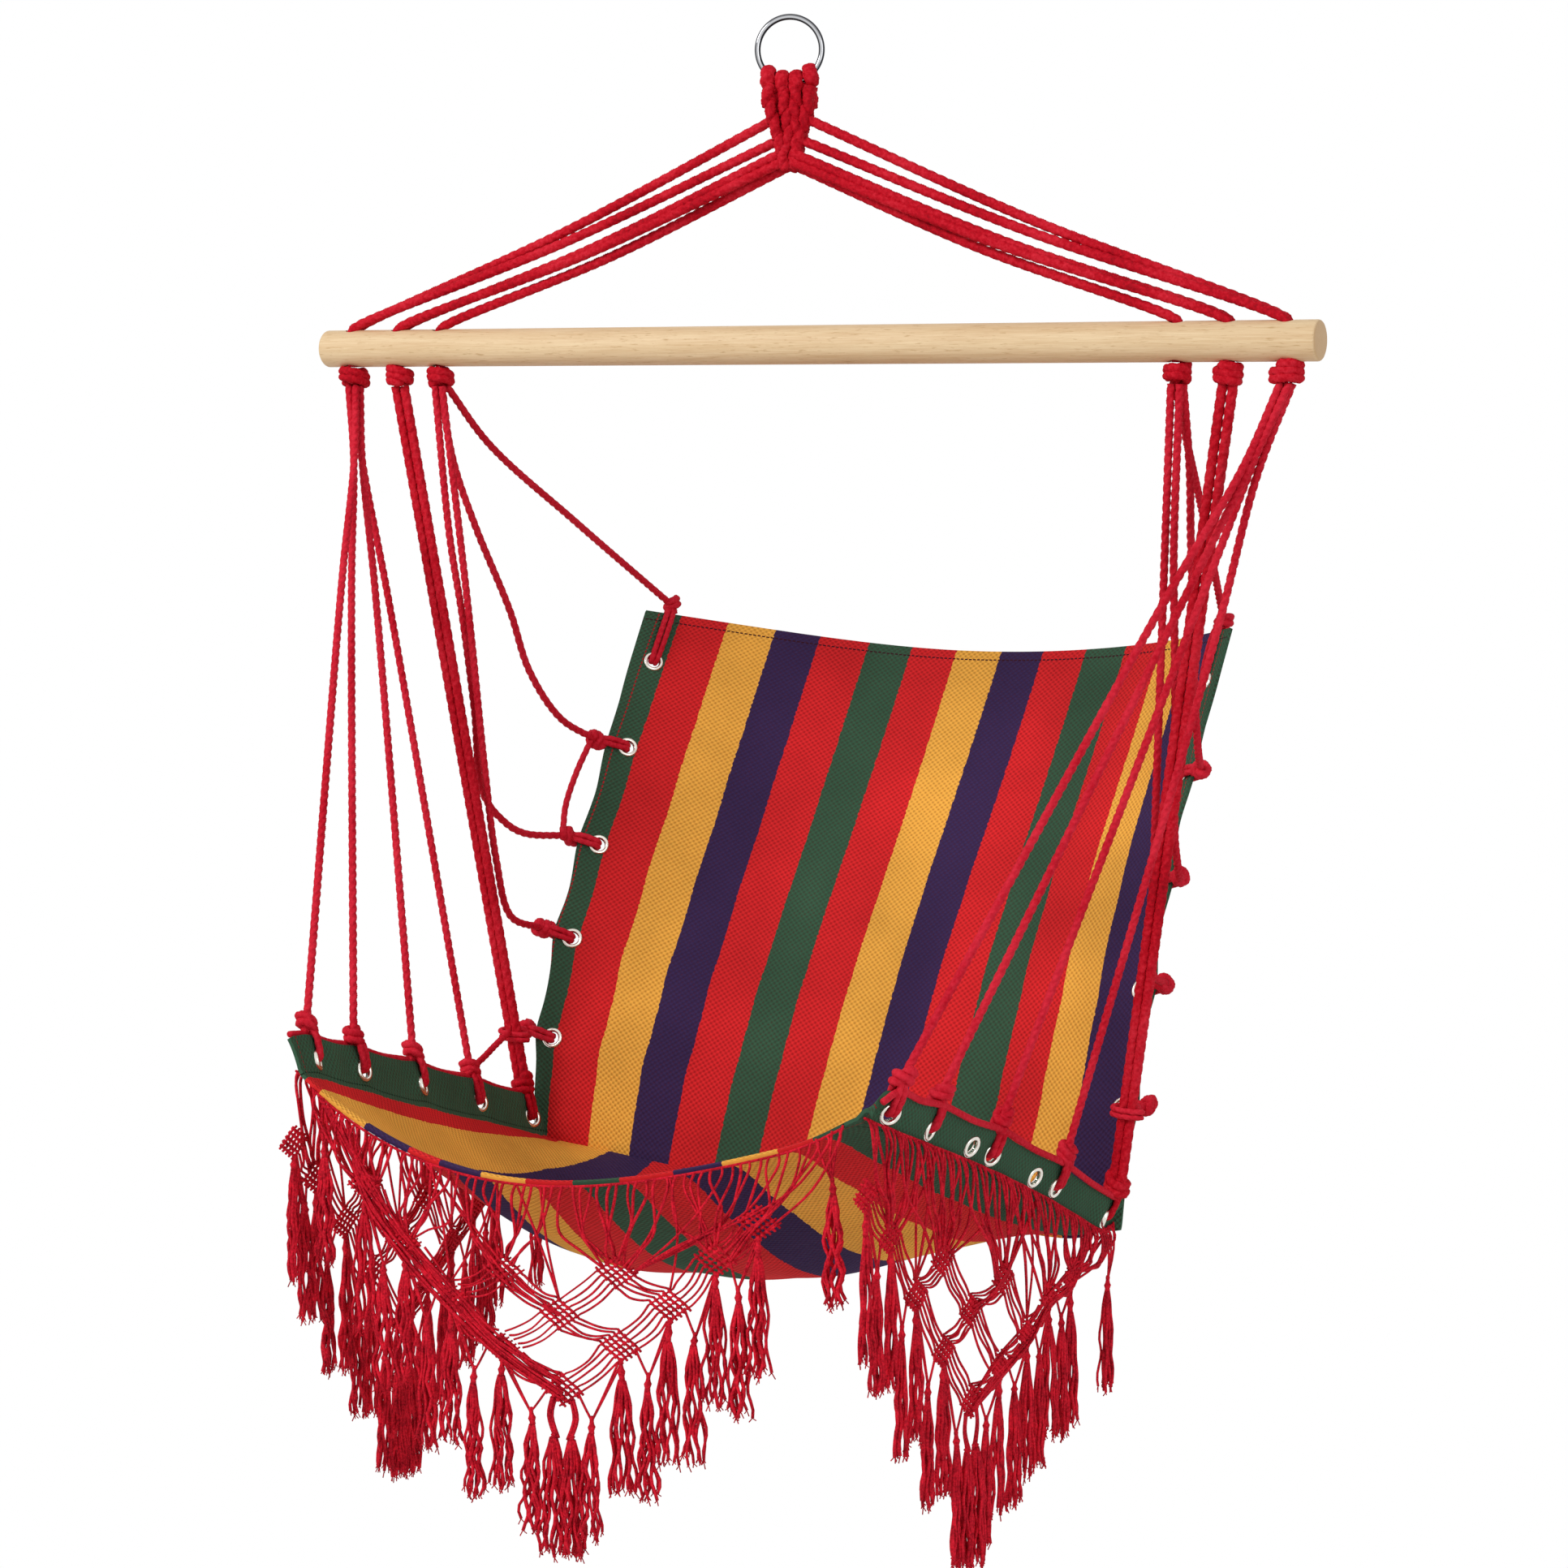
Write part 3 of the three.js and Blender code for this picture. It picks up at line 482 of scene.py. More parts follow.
def add_rod(bm, radius, length, segments, place=(0, 0, 0), direction=(0, 0, 1)):
    """Adds a closed rod, centred on a place and laid in a direction."""
    sizes = {"radius1": radius, "radius2": radius, "depth": length}
    made = bmesh.ops.create_cone(bm, cap_ends=True, segments=segments, **sizes)["verts"]
    turn = Vector((0, 0, 1)).rotation_difference(Vector(direction)).to_matrix()
    bmesh.ops.rotate(bm, verts=made, cent=(0, 0, 0), matrix=turn)
    bmesh.ops.translate(bm, verts=made, vec=place)


bm = bmesh.new()
add_rod(bm, BAR_RADIUS, 2 * BAR_HALF, 72)
rims = [e for e in bm.edges if abs(e.verts[0].co.z - e.verts[1].co.z) < 1e-6]
rounding = {"offset": BAR_ROUNDING, "offset_type": "OFFSET", "segments": 5, "profile": 0.5}
bmesh.ops.bevel(bm, geom=rims, affect="EDGES", material=-1, **rounding)
bmesh.ops.rotate(bm, verts=bm.verts, cent=(0, 0, 0), matrix=Matrix.Rotation(math.pi / 2, 3, "Y"))
bmesh.ops.translate(bm, verts=bm.verts, vec=(0, 0, -BAR_DROP))
bar = piece_from(bm, "beech_bar", beech)
drills = bmesh.new()
for place in HOLES.values():
    for side in (-1, 1):
        add_rod(drills, HOLE_RADIUS, DRILL_LENGTH, 32, (side * place, 0, -BAR_DROP))
cut_away(bar, drills, 40)
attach(bar, "hanger")
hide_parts("spreader_bar")

# Upper ropes
# Five ropes on each side run from the plait down to the bar. Two share the outer hole, two lie side by side
# in the middle hole, and one goes through the inner hole.
ROPE_SAG = 0.007
# Where each rope leaves the plait: how far down, and how far to the back
upper_ropes = {
    "outer": [(0.082, 0.0), (0.103, 0.0)],
    "middle": [(0.117, -0.006), (0.125, -0.006)],
    "inner": [(0.1288, 0.006)],
}
SIDES = ((-1, "left"), (1, "right"))


def taut_rope(name, body, node_name, points, radius, finish, **twist):
    """A rope that hangs tight through its points, as a piece of its own."""
    bm = bmesh.new()
    line = add_rope(bm, points, radius, **twist)
    rope = piece_from(bm, name, finish)
    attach(rope, body)
    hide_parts(node_name)


for side, word in SIDES:
    for hole, starts in upper_ropes.items():
        for number, (drop, spread) in enumerate(starts, 1):
            place = HOLES[hole]
            fore = -0.0032 if number == 2 else 0.0032 if len(starts) > 1 else 0.0
            start = Vector((side * ROPE, spread, -drop))
            mouth = Vector((side * (place - 0.006), fore, -BAR_DROP + BAR_RADIUS + 0.0035))
            middle = start.lerp(mouth, 0.5) - upward(ROPE_SAG)
            bend = Vector((side * place, fore, -BAR_DROP + BAR_RADIUS - 0.001))
            foot = Vector((side * place, fore, -BAR_DROP - BAR_RADIUS))
            points = [start, middle, mouth, bend, foot]
            taut_rope(f"upper_rope_{hole}_{word}_{number}", "hanger", f"{hole}_rope_{word}", points, ROPE,
                      rope_cotton, phase=rng.uniform(0, 6), depth=0.2)

# Stopper knots
# Under the bar each hole's rope is tied in a tight round knot that can't pull through. The knots bear on
# the bar, and the cords below come out of them close together.
STOPPER_DROP = 0.3154
STOPPER_HIGH = 0.0222
STOPPER_SEAT = 0.0018
STOPPER_WIDE = {"outer": 0.0306, "middle": 0.0268, "inner": 0.0268}
KNOT_ROPE = 0.0046


def add_wound_knot(bm, centre, axis, wide, high, radius, turns=2.2, start=0.0, lean=0.25):
    """A tight knot: the rope comes out of the middle, winds round and goes back into the middle."""
    axis = axis.normalized()
    side = axis.orthogonal().normalized()
    other = axis.cross(side)
    reach = wide / 2 - radius
    rise = high / 2 - radius
    steps = round(turns * 11)
    path = [centre + axis * rise * 0.5]
    for i in range(steps + 1):
        share = i / steps
        a = start + math.tau * turns * share
        tilt = lean * radius * math.cos(a - 1.3 * start)
        bulge = reach * (1 + 0.07 * math.sin(2 * a + start))
        around = (side * math.cos(a) + other * math.sin(a)) * bulge
        path.append(centre + around + axis * (rise * (1 - 2 * share) + tilt))
    path.append(centre - axis * rise * 0.5)
    add_rope(bm, path, radius, phase=start, lay=0.026)
    core = Matrix.Translation(centre) @ Matrix.Scale(max(high / wide, 0.6), 4, axis)
    bmesh.ops.create_icosphere(bm, subdivisions=2, radius=reach * 0.98, matrix=core)


for side, word in SIDES:
    for hole, place in HOLES.items():
        bm = bmesh.new()
        centre = Vector((side * place, 0, -STOPPER_DROP + STOPPER_SEAT))
        add_wound_knot(bm, centre, Vector((0, 0, 1)), STOPPER_WIDE[hole], STOPPER_HIGH, KNOT_ROPE,
                       turns=2.3, start=rng.uniform(0, 6), lean=stray(0.5))
        knot = piece_from(bm, f"stopper_{hole}_{word}", rope_cotton)
        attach(knot, "hanger")
        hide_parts(f"stopper_knot_{hole}_{word}")

# Seat
# One piece of coarse striped canvas, sewn from a flat cut of about 627 by 485 mm. Its sides stand up as
# bands that carry the eyelets, its front edge is a curved hem, and its middle hangs down in a pocket.
SEAT_DEPTH = 0.444
SEAT_FRONT = 0.392
SEAT_HALF_FRONT = 0.278
SEAT_HALF_REAR = 0.306
EDGE_FRONT_DROP = 0.872
EDGE_FALL = 0.157
BAND_HEIGHT = 0.036
BAND_LEAN = 0.012
FOLD_SHARE = 1 - BAND_HEIGHT / (SEAT_HALF_FRONT + BAND_HEIGHT - BAND_LEAN)
HEM_SAG = 0.065
HEM_BOW = 0.014
REAR_SAG = 0.008
POCKET = 0.087
SAG_SKEW = 0.5
REAR_TWIST = 0.022
# The right corners differ from the left ones: the cords lift them, and the front one is well rounded
FRONT_LIFT = 0.010
REAR_CORNER = 0.016
CORNER_ROUNDING = {-1: 0.007, 1: 0.024}
seat_flat = (0.627, 0.485)
seat_eyelet_shares = [0.08, 0.243, 0.482, 0.734, 0.96]


def mix_of(a, b, t):
    return a + (b - a) * t


def hill(off, wide):
    """A smooth bump: 1 where off is 0, and almost 0 at twice the width."""
    return math.exp(-((off / wide) ** 2))


def seat_at(u, v):
    """The middle of the seat's cloth: u from -1 at the left edge to 1 at the right, v from the hem back."""
    v = min(max(v, 0.0), 1.0)
    side = -1 if u < 0 else 1
    reach = abs(u) / FOLD_SHARE
    half = mix_of(SEAT_HALF_FRONT, SEAT_HALF_REAR, v) - BAND_LEAN
    fold = -EDGE_FRONT_DROP - EDGE_FALL * (0.8 * v + 0.2 * v * v) - BAND_HEIGHT - REAR_TWIST * u * v * v
    y = v * SEAT_DEPTH - SEAT_FRONT
    knots = max(hill(v - share, 0.045) for share in seat_eyelet_shares)
    lifted = 0.0
    full = 2.0
    if side > 0:
        lifted = FRONT_LIFT * hill(reach - 1.02, 0.16) * (1 - v) ** 6
        lifted += REAR_CORNER * hill(max(1 - reach, 0), 0.1) * max(1 - (1 - v) / 0.08, 0) ** 2
        full += 1.3 * math.sin(math.pi * v)

    # The band puckers between its eyelets, is pleated at them and droops a little from one to the next
    if reach > 1:
        climb = (abs(u) - FOLD_SHARE) / (1 - FOLD_SHARE)
        waves = math.sin(math.tau * v * 12.5 + side) * math.sin(5 * v + 1)
        pucker = 0.0011 * math.sin(math.pi * climb) * waves
        pleat = 0.0030 * knots * math.sin(math.pi * min(climb * 1.1, 1)) * math.sin(60 * v + 2)
        between = math.sin(math.pi * min(max((v - 0.02) / 0.96, 0), 1)) ** 0.3
        droop = 0.0028 * (1 - knots) * climb * between
        corner = CORNER_ROUNDING[side] * max(1 - v / 0.065, 0) ** 2 * climb**2
        rise = (BAND_HEIGHT - droop) * climb - corner
        across = half + BAND_LEAN * climb + pucker + pleat
        return Vector((side * across, y, fold + lifted * (1 - climb) + rise))

    # The floor hangs in a pocket, with long creases, pulls at the knots and a hem that rolls under
    sag = mix_of(HEM_SAG, REAR_SAG, v) + POCKET * math.sin(math.pi * v)
    skew = 1 - SAG_SKEW * side * reach * (1 - v)
    bow = HEM_BOW * (1 - reach * reach) * (1 - v) ** 2
    slack = math.sin(math.pi * v) * (1 - reach**4)
    long_crease = 0.0022 * math.sin(9 * side * reach + 4 * v)
    crease = slack * (long_crease + 0.0012 * math.sin(23 * side * reach - 9 * v))
    crease -= 0.0022 * knots * hill(reach - 0.93, 0.07) * min(v * 6, 1)
    crease -= 0.0065 * max(1 - v / 0.026, 0) ** 2 * (1 - reach**6)
    return Vector((side * half * reach, y + bow, fold - sag * (1 - reach**full) * skew + crease + lifted))


stripe_tones = {"R": "DE282C", "Y": "F8B44C", "P": "3A2952", "G": "395B45"}
speck_tones = {"R": "A00E1A", "Y": "CC7A22", "P": "5A2646", "G": "55392F"}
# A real thread is about 1 mm wide. That is too fine to show in the render, so it is drawn about 3 mm wide.
WARP = 0.0030
WEFT = 0.0026
# The stitches of a hem: half the thread's width, the length of one stitch, and from one to the next
STITCH_HALF = 0.0007
STITCH_LONG = 0.0031
STITCH_PITCH = 0.0045


def canvas_material(name, flat, stripes, stitch_rows):
    """Coarse cotton canvas: a plain weave of dyed threads in stripes, matt, with stitched hems.

    Each stripe's edge steps from weft to weft. The hollows between the threads show specks of a darker
    colour, in slubs of about 7 mm, and the dye has faded unevenly over about 110 mm. The threads' crests
    carry a painted highlight and the hollows a painted shade.
    """
    finish, node, shader = new_finish(name)
    parts = node("SeparateXYZ", {0: node("UVMap", uv_map="UVMap")})
    across = {"X": parts.outputs["X"], "Y": parts.outputs["Y"]}
    row = node("Math", {0: across["Y"], 1: WEFT}, operation="SNAP")
    wobble = node("TexWhiteNoise", {"W": row}, noise_dimensions="1D")
    jag = node("MapRange", {"Value": wobble, "To Min": -0.0005, "To Max": 0.0005})
    shifted = node("Math", {0: across["X"], 1: jag}, operation="ADD")
    share = node("Math", {0: shifted, 1: flat[0]}, operation="DIVIDE")
    total = sum(width for _, width in stripes)
    starts = [sum(width for _, width in stripes[:index]) / total for index in range(len(stripes))]
    dyes = []
    for tones in (stripe_tones, speck_tones):
        codes = [(start, tones[key]) for start, (key, _) in zip(starts, stripes)]
        dye = node("ValToRGB", {"Fac": share}, codes)
        dye.color_ramp.interpolation = "CONSTANT"
        dyes.append(dye)
    sines = []
    for way, thread in (("X", WARP), ("Y", WEFT)):
        wave = node("Math", {0: across[way], 1: math.pi / thread}, operation="MULTIPLY")
        sines.append(node("Math", {0: wave}, operation="SINE"))
    cross = node("Math", {0: sines[0], 1: sines[1]}, operation="MULTIPLY")
    weave = node("MapRange", {"Value": cross, "From Min": -1.0})
    spot = node("TexCoord").outputs["Object"]
    slub = node("TexNoise", {"Vector": spot, "Scale": 150.0, "Detail": 3.0})
    fade = node("TexNoise", {"Vector": spot, "Scale": 9.0, "Detail": 3.0})
    hollow = node("MapRange", {"Value": weave, "From Min": 0.5, "From Max": 0.0, "To Max": 0.75})
    speck = node("Math", {0: hollow, 1: slub}, operation="MULTIPLY")
    worn = node("Mix", {"Factor": speck, 6: dyes[0], 7: dyes[1]}, data_type="RGBA")
    fade_limits = {"From Min": 0.3, "From Max": 0.7, "To Min": 0.82, "To Max": 1.1}
    light = node("MapRange", {"Value": fade, **fade_limits})
    # Painted highlight on the threads' crests and painted shade in the hollows between them
    thread = node("MapRange", {"Value": weave, "To Min": 0.78, "To Max": 1.2})
    value = node("Math", {0: light, 1: thread}, operation="MULTIPLY")
    colour = node("HueSaturation", {"Color": worn.outputs[2], "Value": value}).outputs["Color"]
    for place, way, code in stitch_rows:
        other = "Y" if way == "X" else "X"
        near = node("Math", {0: across[way], 1: place, 2: STITCH_HALF}, operation="COMPARE")
        beat = node("Math", {0: across[other], 1: STITCH_PITCH}, operation="FLOORED_MODULO")
        dash = node("Math", {0: beat, 1: STITCH_LONG}, operation="LESS_THAN")
        mask = node("Math", {0: near, 1: dash}, operation="MULTIPLY")
        colour = node("Mix", {"Factor": mask, 6: colour, 7: srgb(code)}, data_type="RGBA").outputs[2]
    rough = node("Math", {0: weave, 1: slub}, operation="ADD")
    feed(shader, {
        "Base Color": colour,
        "Normal": node("Bump", {"Height": rough, "Strength": 1.0, "Distance": 0.0009}),
        "Roughness": 0.88,
        "Specular IOR Level": 0.12,
    })
    return finish


# Stripes from the left edge to the right: red, yellow, purple and green, with their widths in millimetres
seat_stripes = [("G", 38), ("R", 17), ("Y", 52), ("P", 46), ("R", 32), ("P", 42), ("Y", 44), ("R", 45),
                ("G", 47), ("R", 54), ("P", 49), ("Y", 56), ("R", 37), ("G", 68)]
seat_stitches = [(0.009, "Y", "8E1420"), (0.0335, "X", "16301F"), (0.5935, "X", "16301F")]
seat_canvas = canvas_material("striped_cotton_canvas_seat", seat_flat, seat_stripes, seat_stitches)

CANVAS_HALF = 0.0009
HEM_HALF = 0.0015
HEM_WIDTH = 0.011
EYELET_HOLE = 0.0062
PUNCH_LENGTH = 0.02


def running_length(grid, axis):
    """The distance along each row or column of a grid of places."""
    steps = np.linalg.norm(np.diff(grid, axis=axis), axis=2)
    return np.insert(np.cumsum(steps, axis=axis), 0, 0.0, axis=axis)


def canvas_panel(name, surface, columns, rows, flat, finish, holes, turned_in=0.0):
    """A sheet on a surface, thicker in its hems, with a round hole for each eyelet.

    turned_in tells how far a row that is shorter than the cut keeps its stripes' width and loses its edges in
    the hems.
    """
    places = [[surface(2 * i / columns - 1, j / rows) for i in range(columns + 1)] for j in range(rows + 1)]
    grid = np.array(places)
    run_u = running_length(grid, 1)
    run_v = running_length(grid, 0)
    flat_u = run_u / run_u[:, -1:] * flat[0]
    flat_v = run_v / run_v[-1:, :] * flat[1]
    own_u = flat_u + turned_in * (run_u - run_u[:, -1:] / 2 + flat[0] / 2 - flat_u)
    bm = bmesh.new()
    uv = bm.loops.layers.uv.new("UVMap")
    bmesh.ops.create_grid(bm, x_segments=columns, y_segments=rows, size=1)
    weights = bm.verts.layers.deform.verify()
    where = {}
    for vert in bm.verts:
        i = round((vert.co.x + 1) / 2 * columns)
        j = round((vert.co.y + 1) / 2 * rows)
        where[vert.index] = (i, j)
        vert.co = Vector(grid[j, i])
        edge = min(flat_u[j, i], flat[0] - flat_u[j, i], flat_v[j, i], flat[1] - flat_v[j, i])
        vert[weights][0] = 1.0 if edge < HEM_WIDTH else CANVAS_HALF / HEM_HALF
    bm.verts.index_update()
    for face in bm.faces:
        for loop in face.loops:
            i, j = where[loop.vert.index]
            loop[uv].uv = (own_u[j, i], flat_v[j, i])
    panel = piece_from(bm, name, finish)
    panel.vertex_groups.new(name="hem")
    wall = panel.modifiers.new("cloth", "SOLIDIFY")
    wall.thickness = 2 * HEM_HALF
    wall.offset = 0.0
    wall.vertex_group = "hem"
    apply_modifiers(panel)
    punch = bmesh.new()
    for place, normal in holes:
        add_rod(punch, EYELET_HOLE, PUNCH_LENGTH, 20, place, normal)
    cut_away(panel, punch, 50)
    panel.vertex_groups.clear()
    return panel


def surface_normal(surface, u, v):
    step = 0.001
    across = surface(u + step, v) - surface(u - step, v)
    return across.cross(surface(u, v + step) - surface(u, v - step)).normalized()


SEAT_INSET = 0.022
seat_eyelet_u = 1 - SEAT_INSET * (1 - FOLD_SHARE) / math.hypot(BAND_HEIGHT, BAND_LEAN)


def eyelet_seat(surface, u, v):
    """The middle of an eyelet, the cloth's direction through it, and the direction out to the near edge."""
    side = -1 if u < 0 else 1
    out = (surface(side, v) - surface(side * FOLD_SHARE, v)).normalized()
    return surface(u, v), surface_normal(surface, u, v), out


seat_eyelets = {
    side: [eyelet_seat(seat_at, side * seat_eyelet_u, v) for v in seat_eyelet_shares]
    for side in (-1, 1)
}
spare_eyelets = [eyelet_seat(seat_at, seat_eyelet_u, v) for v in (0.395, 0.655)]
seat_holes = [(place, normal) for place, normal, _ in seat_eyelets[-1] + seat_eyelets[1] + spare_eyelets]
seat_cloth = canvas_panel("seat_cloth", seat_at, 112, 112, seat_flat, seat_canvas, seat_holes)
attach(seat_cloth, "seat")
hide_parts("seat_panel")

# Back
# A second piece of the same canvas, about 695 by 572 mm, joined to the seat's rear edge. Its side edges are
# pulled forward by the cords, so it is hollow, and its top is hemmed.
BACK_BASE = 0.0532
BACK_HALF_FOOT = 0.302
BACK_HALF_TOP = 0.315
SEAM_DROP = 1.0668
SEAM_SAG = 0.008
back_flat = (0.695, 0.572)
back_eyelet_shares = [0.93, 0.8, 0.642, 0.475, 0.27]
BACK_INSET = 0.017


def curve_through(start, knee, end, t):
    return (1 - t) ** 2 * start + 2 * t * (1 - t) * knee + t**2 * end


def back_at(u, t):
    """The middle of the back's cloth: u from left to right, t from the seam with the seat to the top hem."""
    side_y = curve_through(BACK_BASE, BACK_BASE, 0.288, t)
    side_z = -curve_through(SEAM_DROP, 0.880, 0.548, t)
    middle_y = curve_through(BACK_BASE, BACK_BASE + 0.042, 0.406, t)
    middle_z = -curve_through(SEAM_DROP + SEAM_SAG, SEAM_DROP + SEAM_SAG - 0.104, 0.587, t)
    pulled = max(hill(t - share, 0.05) for share in back_eyelet_shares)

    # Its width swells towards the middle of its height, and its side edges draw in between the eyelets
    edge = abs(u) ** 6
    broad = 0.009 * math.sin(math.pi * min(t * 1.2 + 0.12, 1))
    drawn_in = 0.0055 * edge * (1 - pulled) * math.sin(math.pi * min(t * 1.04, 1))
    half = mix_of(BACK_HALF_FOOT, BACK_HALF_TOP, t) + broad - drawn_in

    # Broad folds, two sets of ripples, and a crease from each eyelet
    slack = math.sin(math.pi * t) * (1 - edge)
    fold = 0.0042 * slack * math.sin(math.tau * (1.35 * t - 0.22 * u) + 0.5)
    ripple = 0.0020 * slack * math.sin(math.tau * (2.1 * u + 0.5 * t))
    ripple += 0.0014 * slack * math.sin(math.tau * (3.7 * u - 0.8 * t) + 1.1)
    crease = -0.0030 * pulled * (1 - abs(u) ** 2) ** 0.5 * abs(u) ** 5 * 2.2
    twist = REAR_TWIST * u * (1 - t) ** 3
    y = mix_of(middle_y, side_y, abs(u) ** 3) + fold + ripple + crease
    corner = REAR_CORNER * hill(1 - u, 0.1) * max(1 - t / 0.06, 0) ** 2
    return Vector((half * u, y, mix_of(middle_z, side_z, u * u) - twist + corner))


back_eyelet_u = 1 - BACK_INSET / BACK_HALF_TOP
back_eyelets = {
    side: [eyelet_seat(back_at, side * back_eyelet_u, t) for t in back_eyelet_shares]
    for side in (-1, 1)
}
back_stripes = [("G", 35), ("R", 50), ("Y", 49), ("P", 49), ("R", 50), ("G", 49), ("R", 49), ("Y", 49),
                ("P", 49), ("R", 49), ("G", 49), ("R", 50), ("Y", 49), ("P", 49), ("G", 35)]
back_stitches = [(0.562, "Y", "3A1420"), (0.012, "X", "B01C28"), (0.683, "X", "B01C28")]
back_canvas = canvas_material("striped_cotton_canvas_back", back_flat, back_stripes, back_stitches)
back_holes = [(place, normal) for place, normal, _ in back_eyelets[-1] + back_eyelets[1]]
back_cloth = canvas_panel("back_cloth", back_at, 116, 96, back_flat, back_canvas, back_holes, 0.5)
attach(back_cloth, "seat")
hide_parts("back_panel")

# Eyelets
# Pressed steel eyelets with bright nickel plating, 20 mm outside with a 12 mm bore, rolled over the cloth
# on both faces.
rim = [(EYELET_HOLE, -0.0016), (0.0068, -0.0026), (0.0082, -0.0030), (0.0096, -0.0024), (0.0100, -0.0015)]

# Nickel plate: a warm, pale metal, smooth from the die and a little rubbed in marks of 2 to 3 mm, so its
# highlights are soft
rub_marks = 400.0
nickel, node, shader = new_finish("nickel_plated_steel")
spot = node("TexCoord").outputs["Object"]
rub = node("TexNoise", {"Vector": spot, "Scale": rub_marks, "Detail": 3.0})
wear = node("MapRange", {"Value": rub, "To Min": 0.18, "To Max": 0.34})
feed(shader, {"Base Color": srgb("E2DED4"), "Roughness": wear, "Metallic": 1.0})


def add_eyelet(bm, place, normal):
    """A ring with a rounded rim on each face of the cloth."""
    old = set(bm.verts)
    profile = rim + [(r, -h) for r, h in reversed(rim)]
    verts = [bm.verts.new((r, 0, h)) for r, h in profile]
    edges = [bm.edges.new((a, b)) for a, b in zip(verts, verts[1:] + verts[:1])]
    round_z = {"axis": (0, 0, 1), "cent": (0, 0, 0), "angle": math.tau}
    bmesh.ops.spin(bm, geom=verts + edges, steps=32, use_merge=True, **round_z)
    made = [v for v in bm.verts if v not in old]
    turn = Vector((0, 0, 1)).rotation_difference(normal).to_matrix()
    bmesh.ops.rotate(bm, verts=made, cent=(0, 0, 0), matrix=turn)
    bmesh.ops.translate(bm, verts=made, vec=place)


all_eyelets = {
    "seat": seat_eyelets[-1] + seat_eyelets[1] + spare_eyelets,
    "back": back_eyelets[-1] + back_eyelets[1],
}
for name, group in all_eyelets.items():
    bm = bmesh.new()
    for place, normal, _ in group:
        add_eyelet(bm, place, normal)
    bmesh.ops.remove_doubles(bm, verts=bm.verts, dist=1e-6)
    bmesh.ops.recalc_face_normals(bm, faces=bm.faces)
    eyelets = piece_from(bm, f"{name}_eyelets", nickel)
    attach(eyelets, "seat")
    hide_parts(*[f"{name}_eyelet_{i}_{word}" for i in (1, 2, 3, 4) for word in ("left", "right")])

# Seat cords
# Four 7.5 mm cords on each side run from the outer stopper knot to the seat's edge. Each ends in a wound
# knot above the band, and its doubled end goes through the eyelet round the edge of the cloth.
KNOT = 0.009
KNOT_CORD = 0.0040
KNOT_GAP = 0.0003
SEAT_KNOT_REACH = SEAT_INSET + HEM_HALF + KNOT + KNOT_GAP
CORD_SPREAD = 0.004
BUNDLE_DROP = 0.0106 * 0.7
TIE = 0.0030
TIE_LAY = 0.024
seat_starts = [(-1, -1), (1, -1), (-1, 1), (1, 1)]


def bundle_place(side, hole, across, back):
    """Where a cord comes out of the underside of a stopper knot."""
    x = side * (HOLES[hole] + across * CORD_SPREAD)
    return Vector((x, back * CORD_SPREAD, -STOPPER_DROP - BUNDLE_DROP))


def add_tie(bm, place, normal, knot):
    """Two strands down one face of the cloth, through the eyelet and up the other face."""
    to_knot = knot - place
    reach = to_knot.length
    to_knot.normalize()
    across = to_knot.cross(normal)
    # Each leg of a strand: the way to the knot, the height over the cloth, and the way to the side
    leg = [
        (0.0024, 0.0036, 0.0024),
        (0.0110, 0.0050, 0.0029),
        (reach - KNOT - 0.0015, 0.0052, 0.0026),
        (reach - 0.0015, 0.0018, 0.0012),
    ]
    for strand in (-1, 1):
        points = [place + across * strand * 0.0021]
        for face in (-1, 1):
            spots = []
            for far, height, wide in leg:
                spots.append(place + to_knot * far + normal * face * height + across * strand * wide)
            points = spots[::-1] + points if face < 0 else points + spots
        add_rope(bm, points, TIE, phase=strand, lay=TIE_LAY)


def free_cord(name, node, points, eyelet, knot_place):
    """A cord from the first of its points to its wound end knot and its tie, which are one piece on it."""
    bm = bmesh.new()
    line = add_rope(bm, points, CORD, phase=rng.uniform(0, 6), depth=0.32)
    cord = piece_from(bm, name, cord_cotton)
    bm = bmesh.new()
    place, normal, _ = eyelet
    axis = (line[-1] - line[-6]).normalized().lerp((knot_place - place).normalized() * -1, 0.5)
    wide = rng.uniform(0.0188, 0.0208)
    high = rng.uniform(0.0182, 0.0206)
    add_wound_knot(bm, knot_place, axis, wide, high, KNOT_CORD,
                   turns=rng.uniform(1.7, 2.1), start=rng.uniform(0, 6), lean=rng.uniform(0.4, 0.9))
    add_tie(bm, place, normal, knot_place)
    end = piece_from(bm, name + "_tie", cord_cotton)
    for piece in (cord, end):
        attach(piece, "seat")
        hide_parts(node)
    return line


seat_knots = {}
seat_lines = {}
for side, word in SIDES:
    seat_knots[side] = [place + out * SEAT_KNOT_REACH for place, _, out in seat_eyelets[side]]
    starts = [bundle_place(side, "outer", across, back) for across, back in seat_starts]
    near = [start.lerp(knot, 0.12) for start, knot in zip(starts, seat_knots[side])]
    bundle = sum(near, Vector()) / 4
    for index, start in enumerate(starts):
        knot = seat_knots[side][index]
        eyelet = seat_eyelets[side][index]
        parting = start.lerp(knot, 0.32).lerp(start.lerp(bundle, 2.67), 0.06)
        route = [start, near[index].lerp(bundle, 0.5), parting, knot]
        name = f"seat_side_cord_{index + 1}_{word}"
        line = free_cord(name, f"seat_cord_{index + 1}_{word}", route, eyelet, knot)
        seat_lines[(side, index)] = line

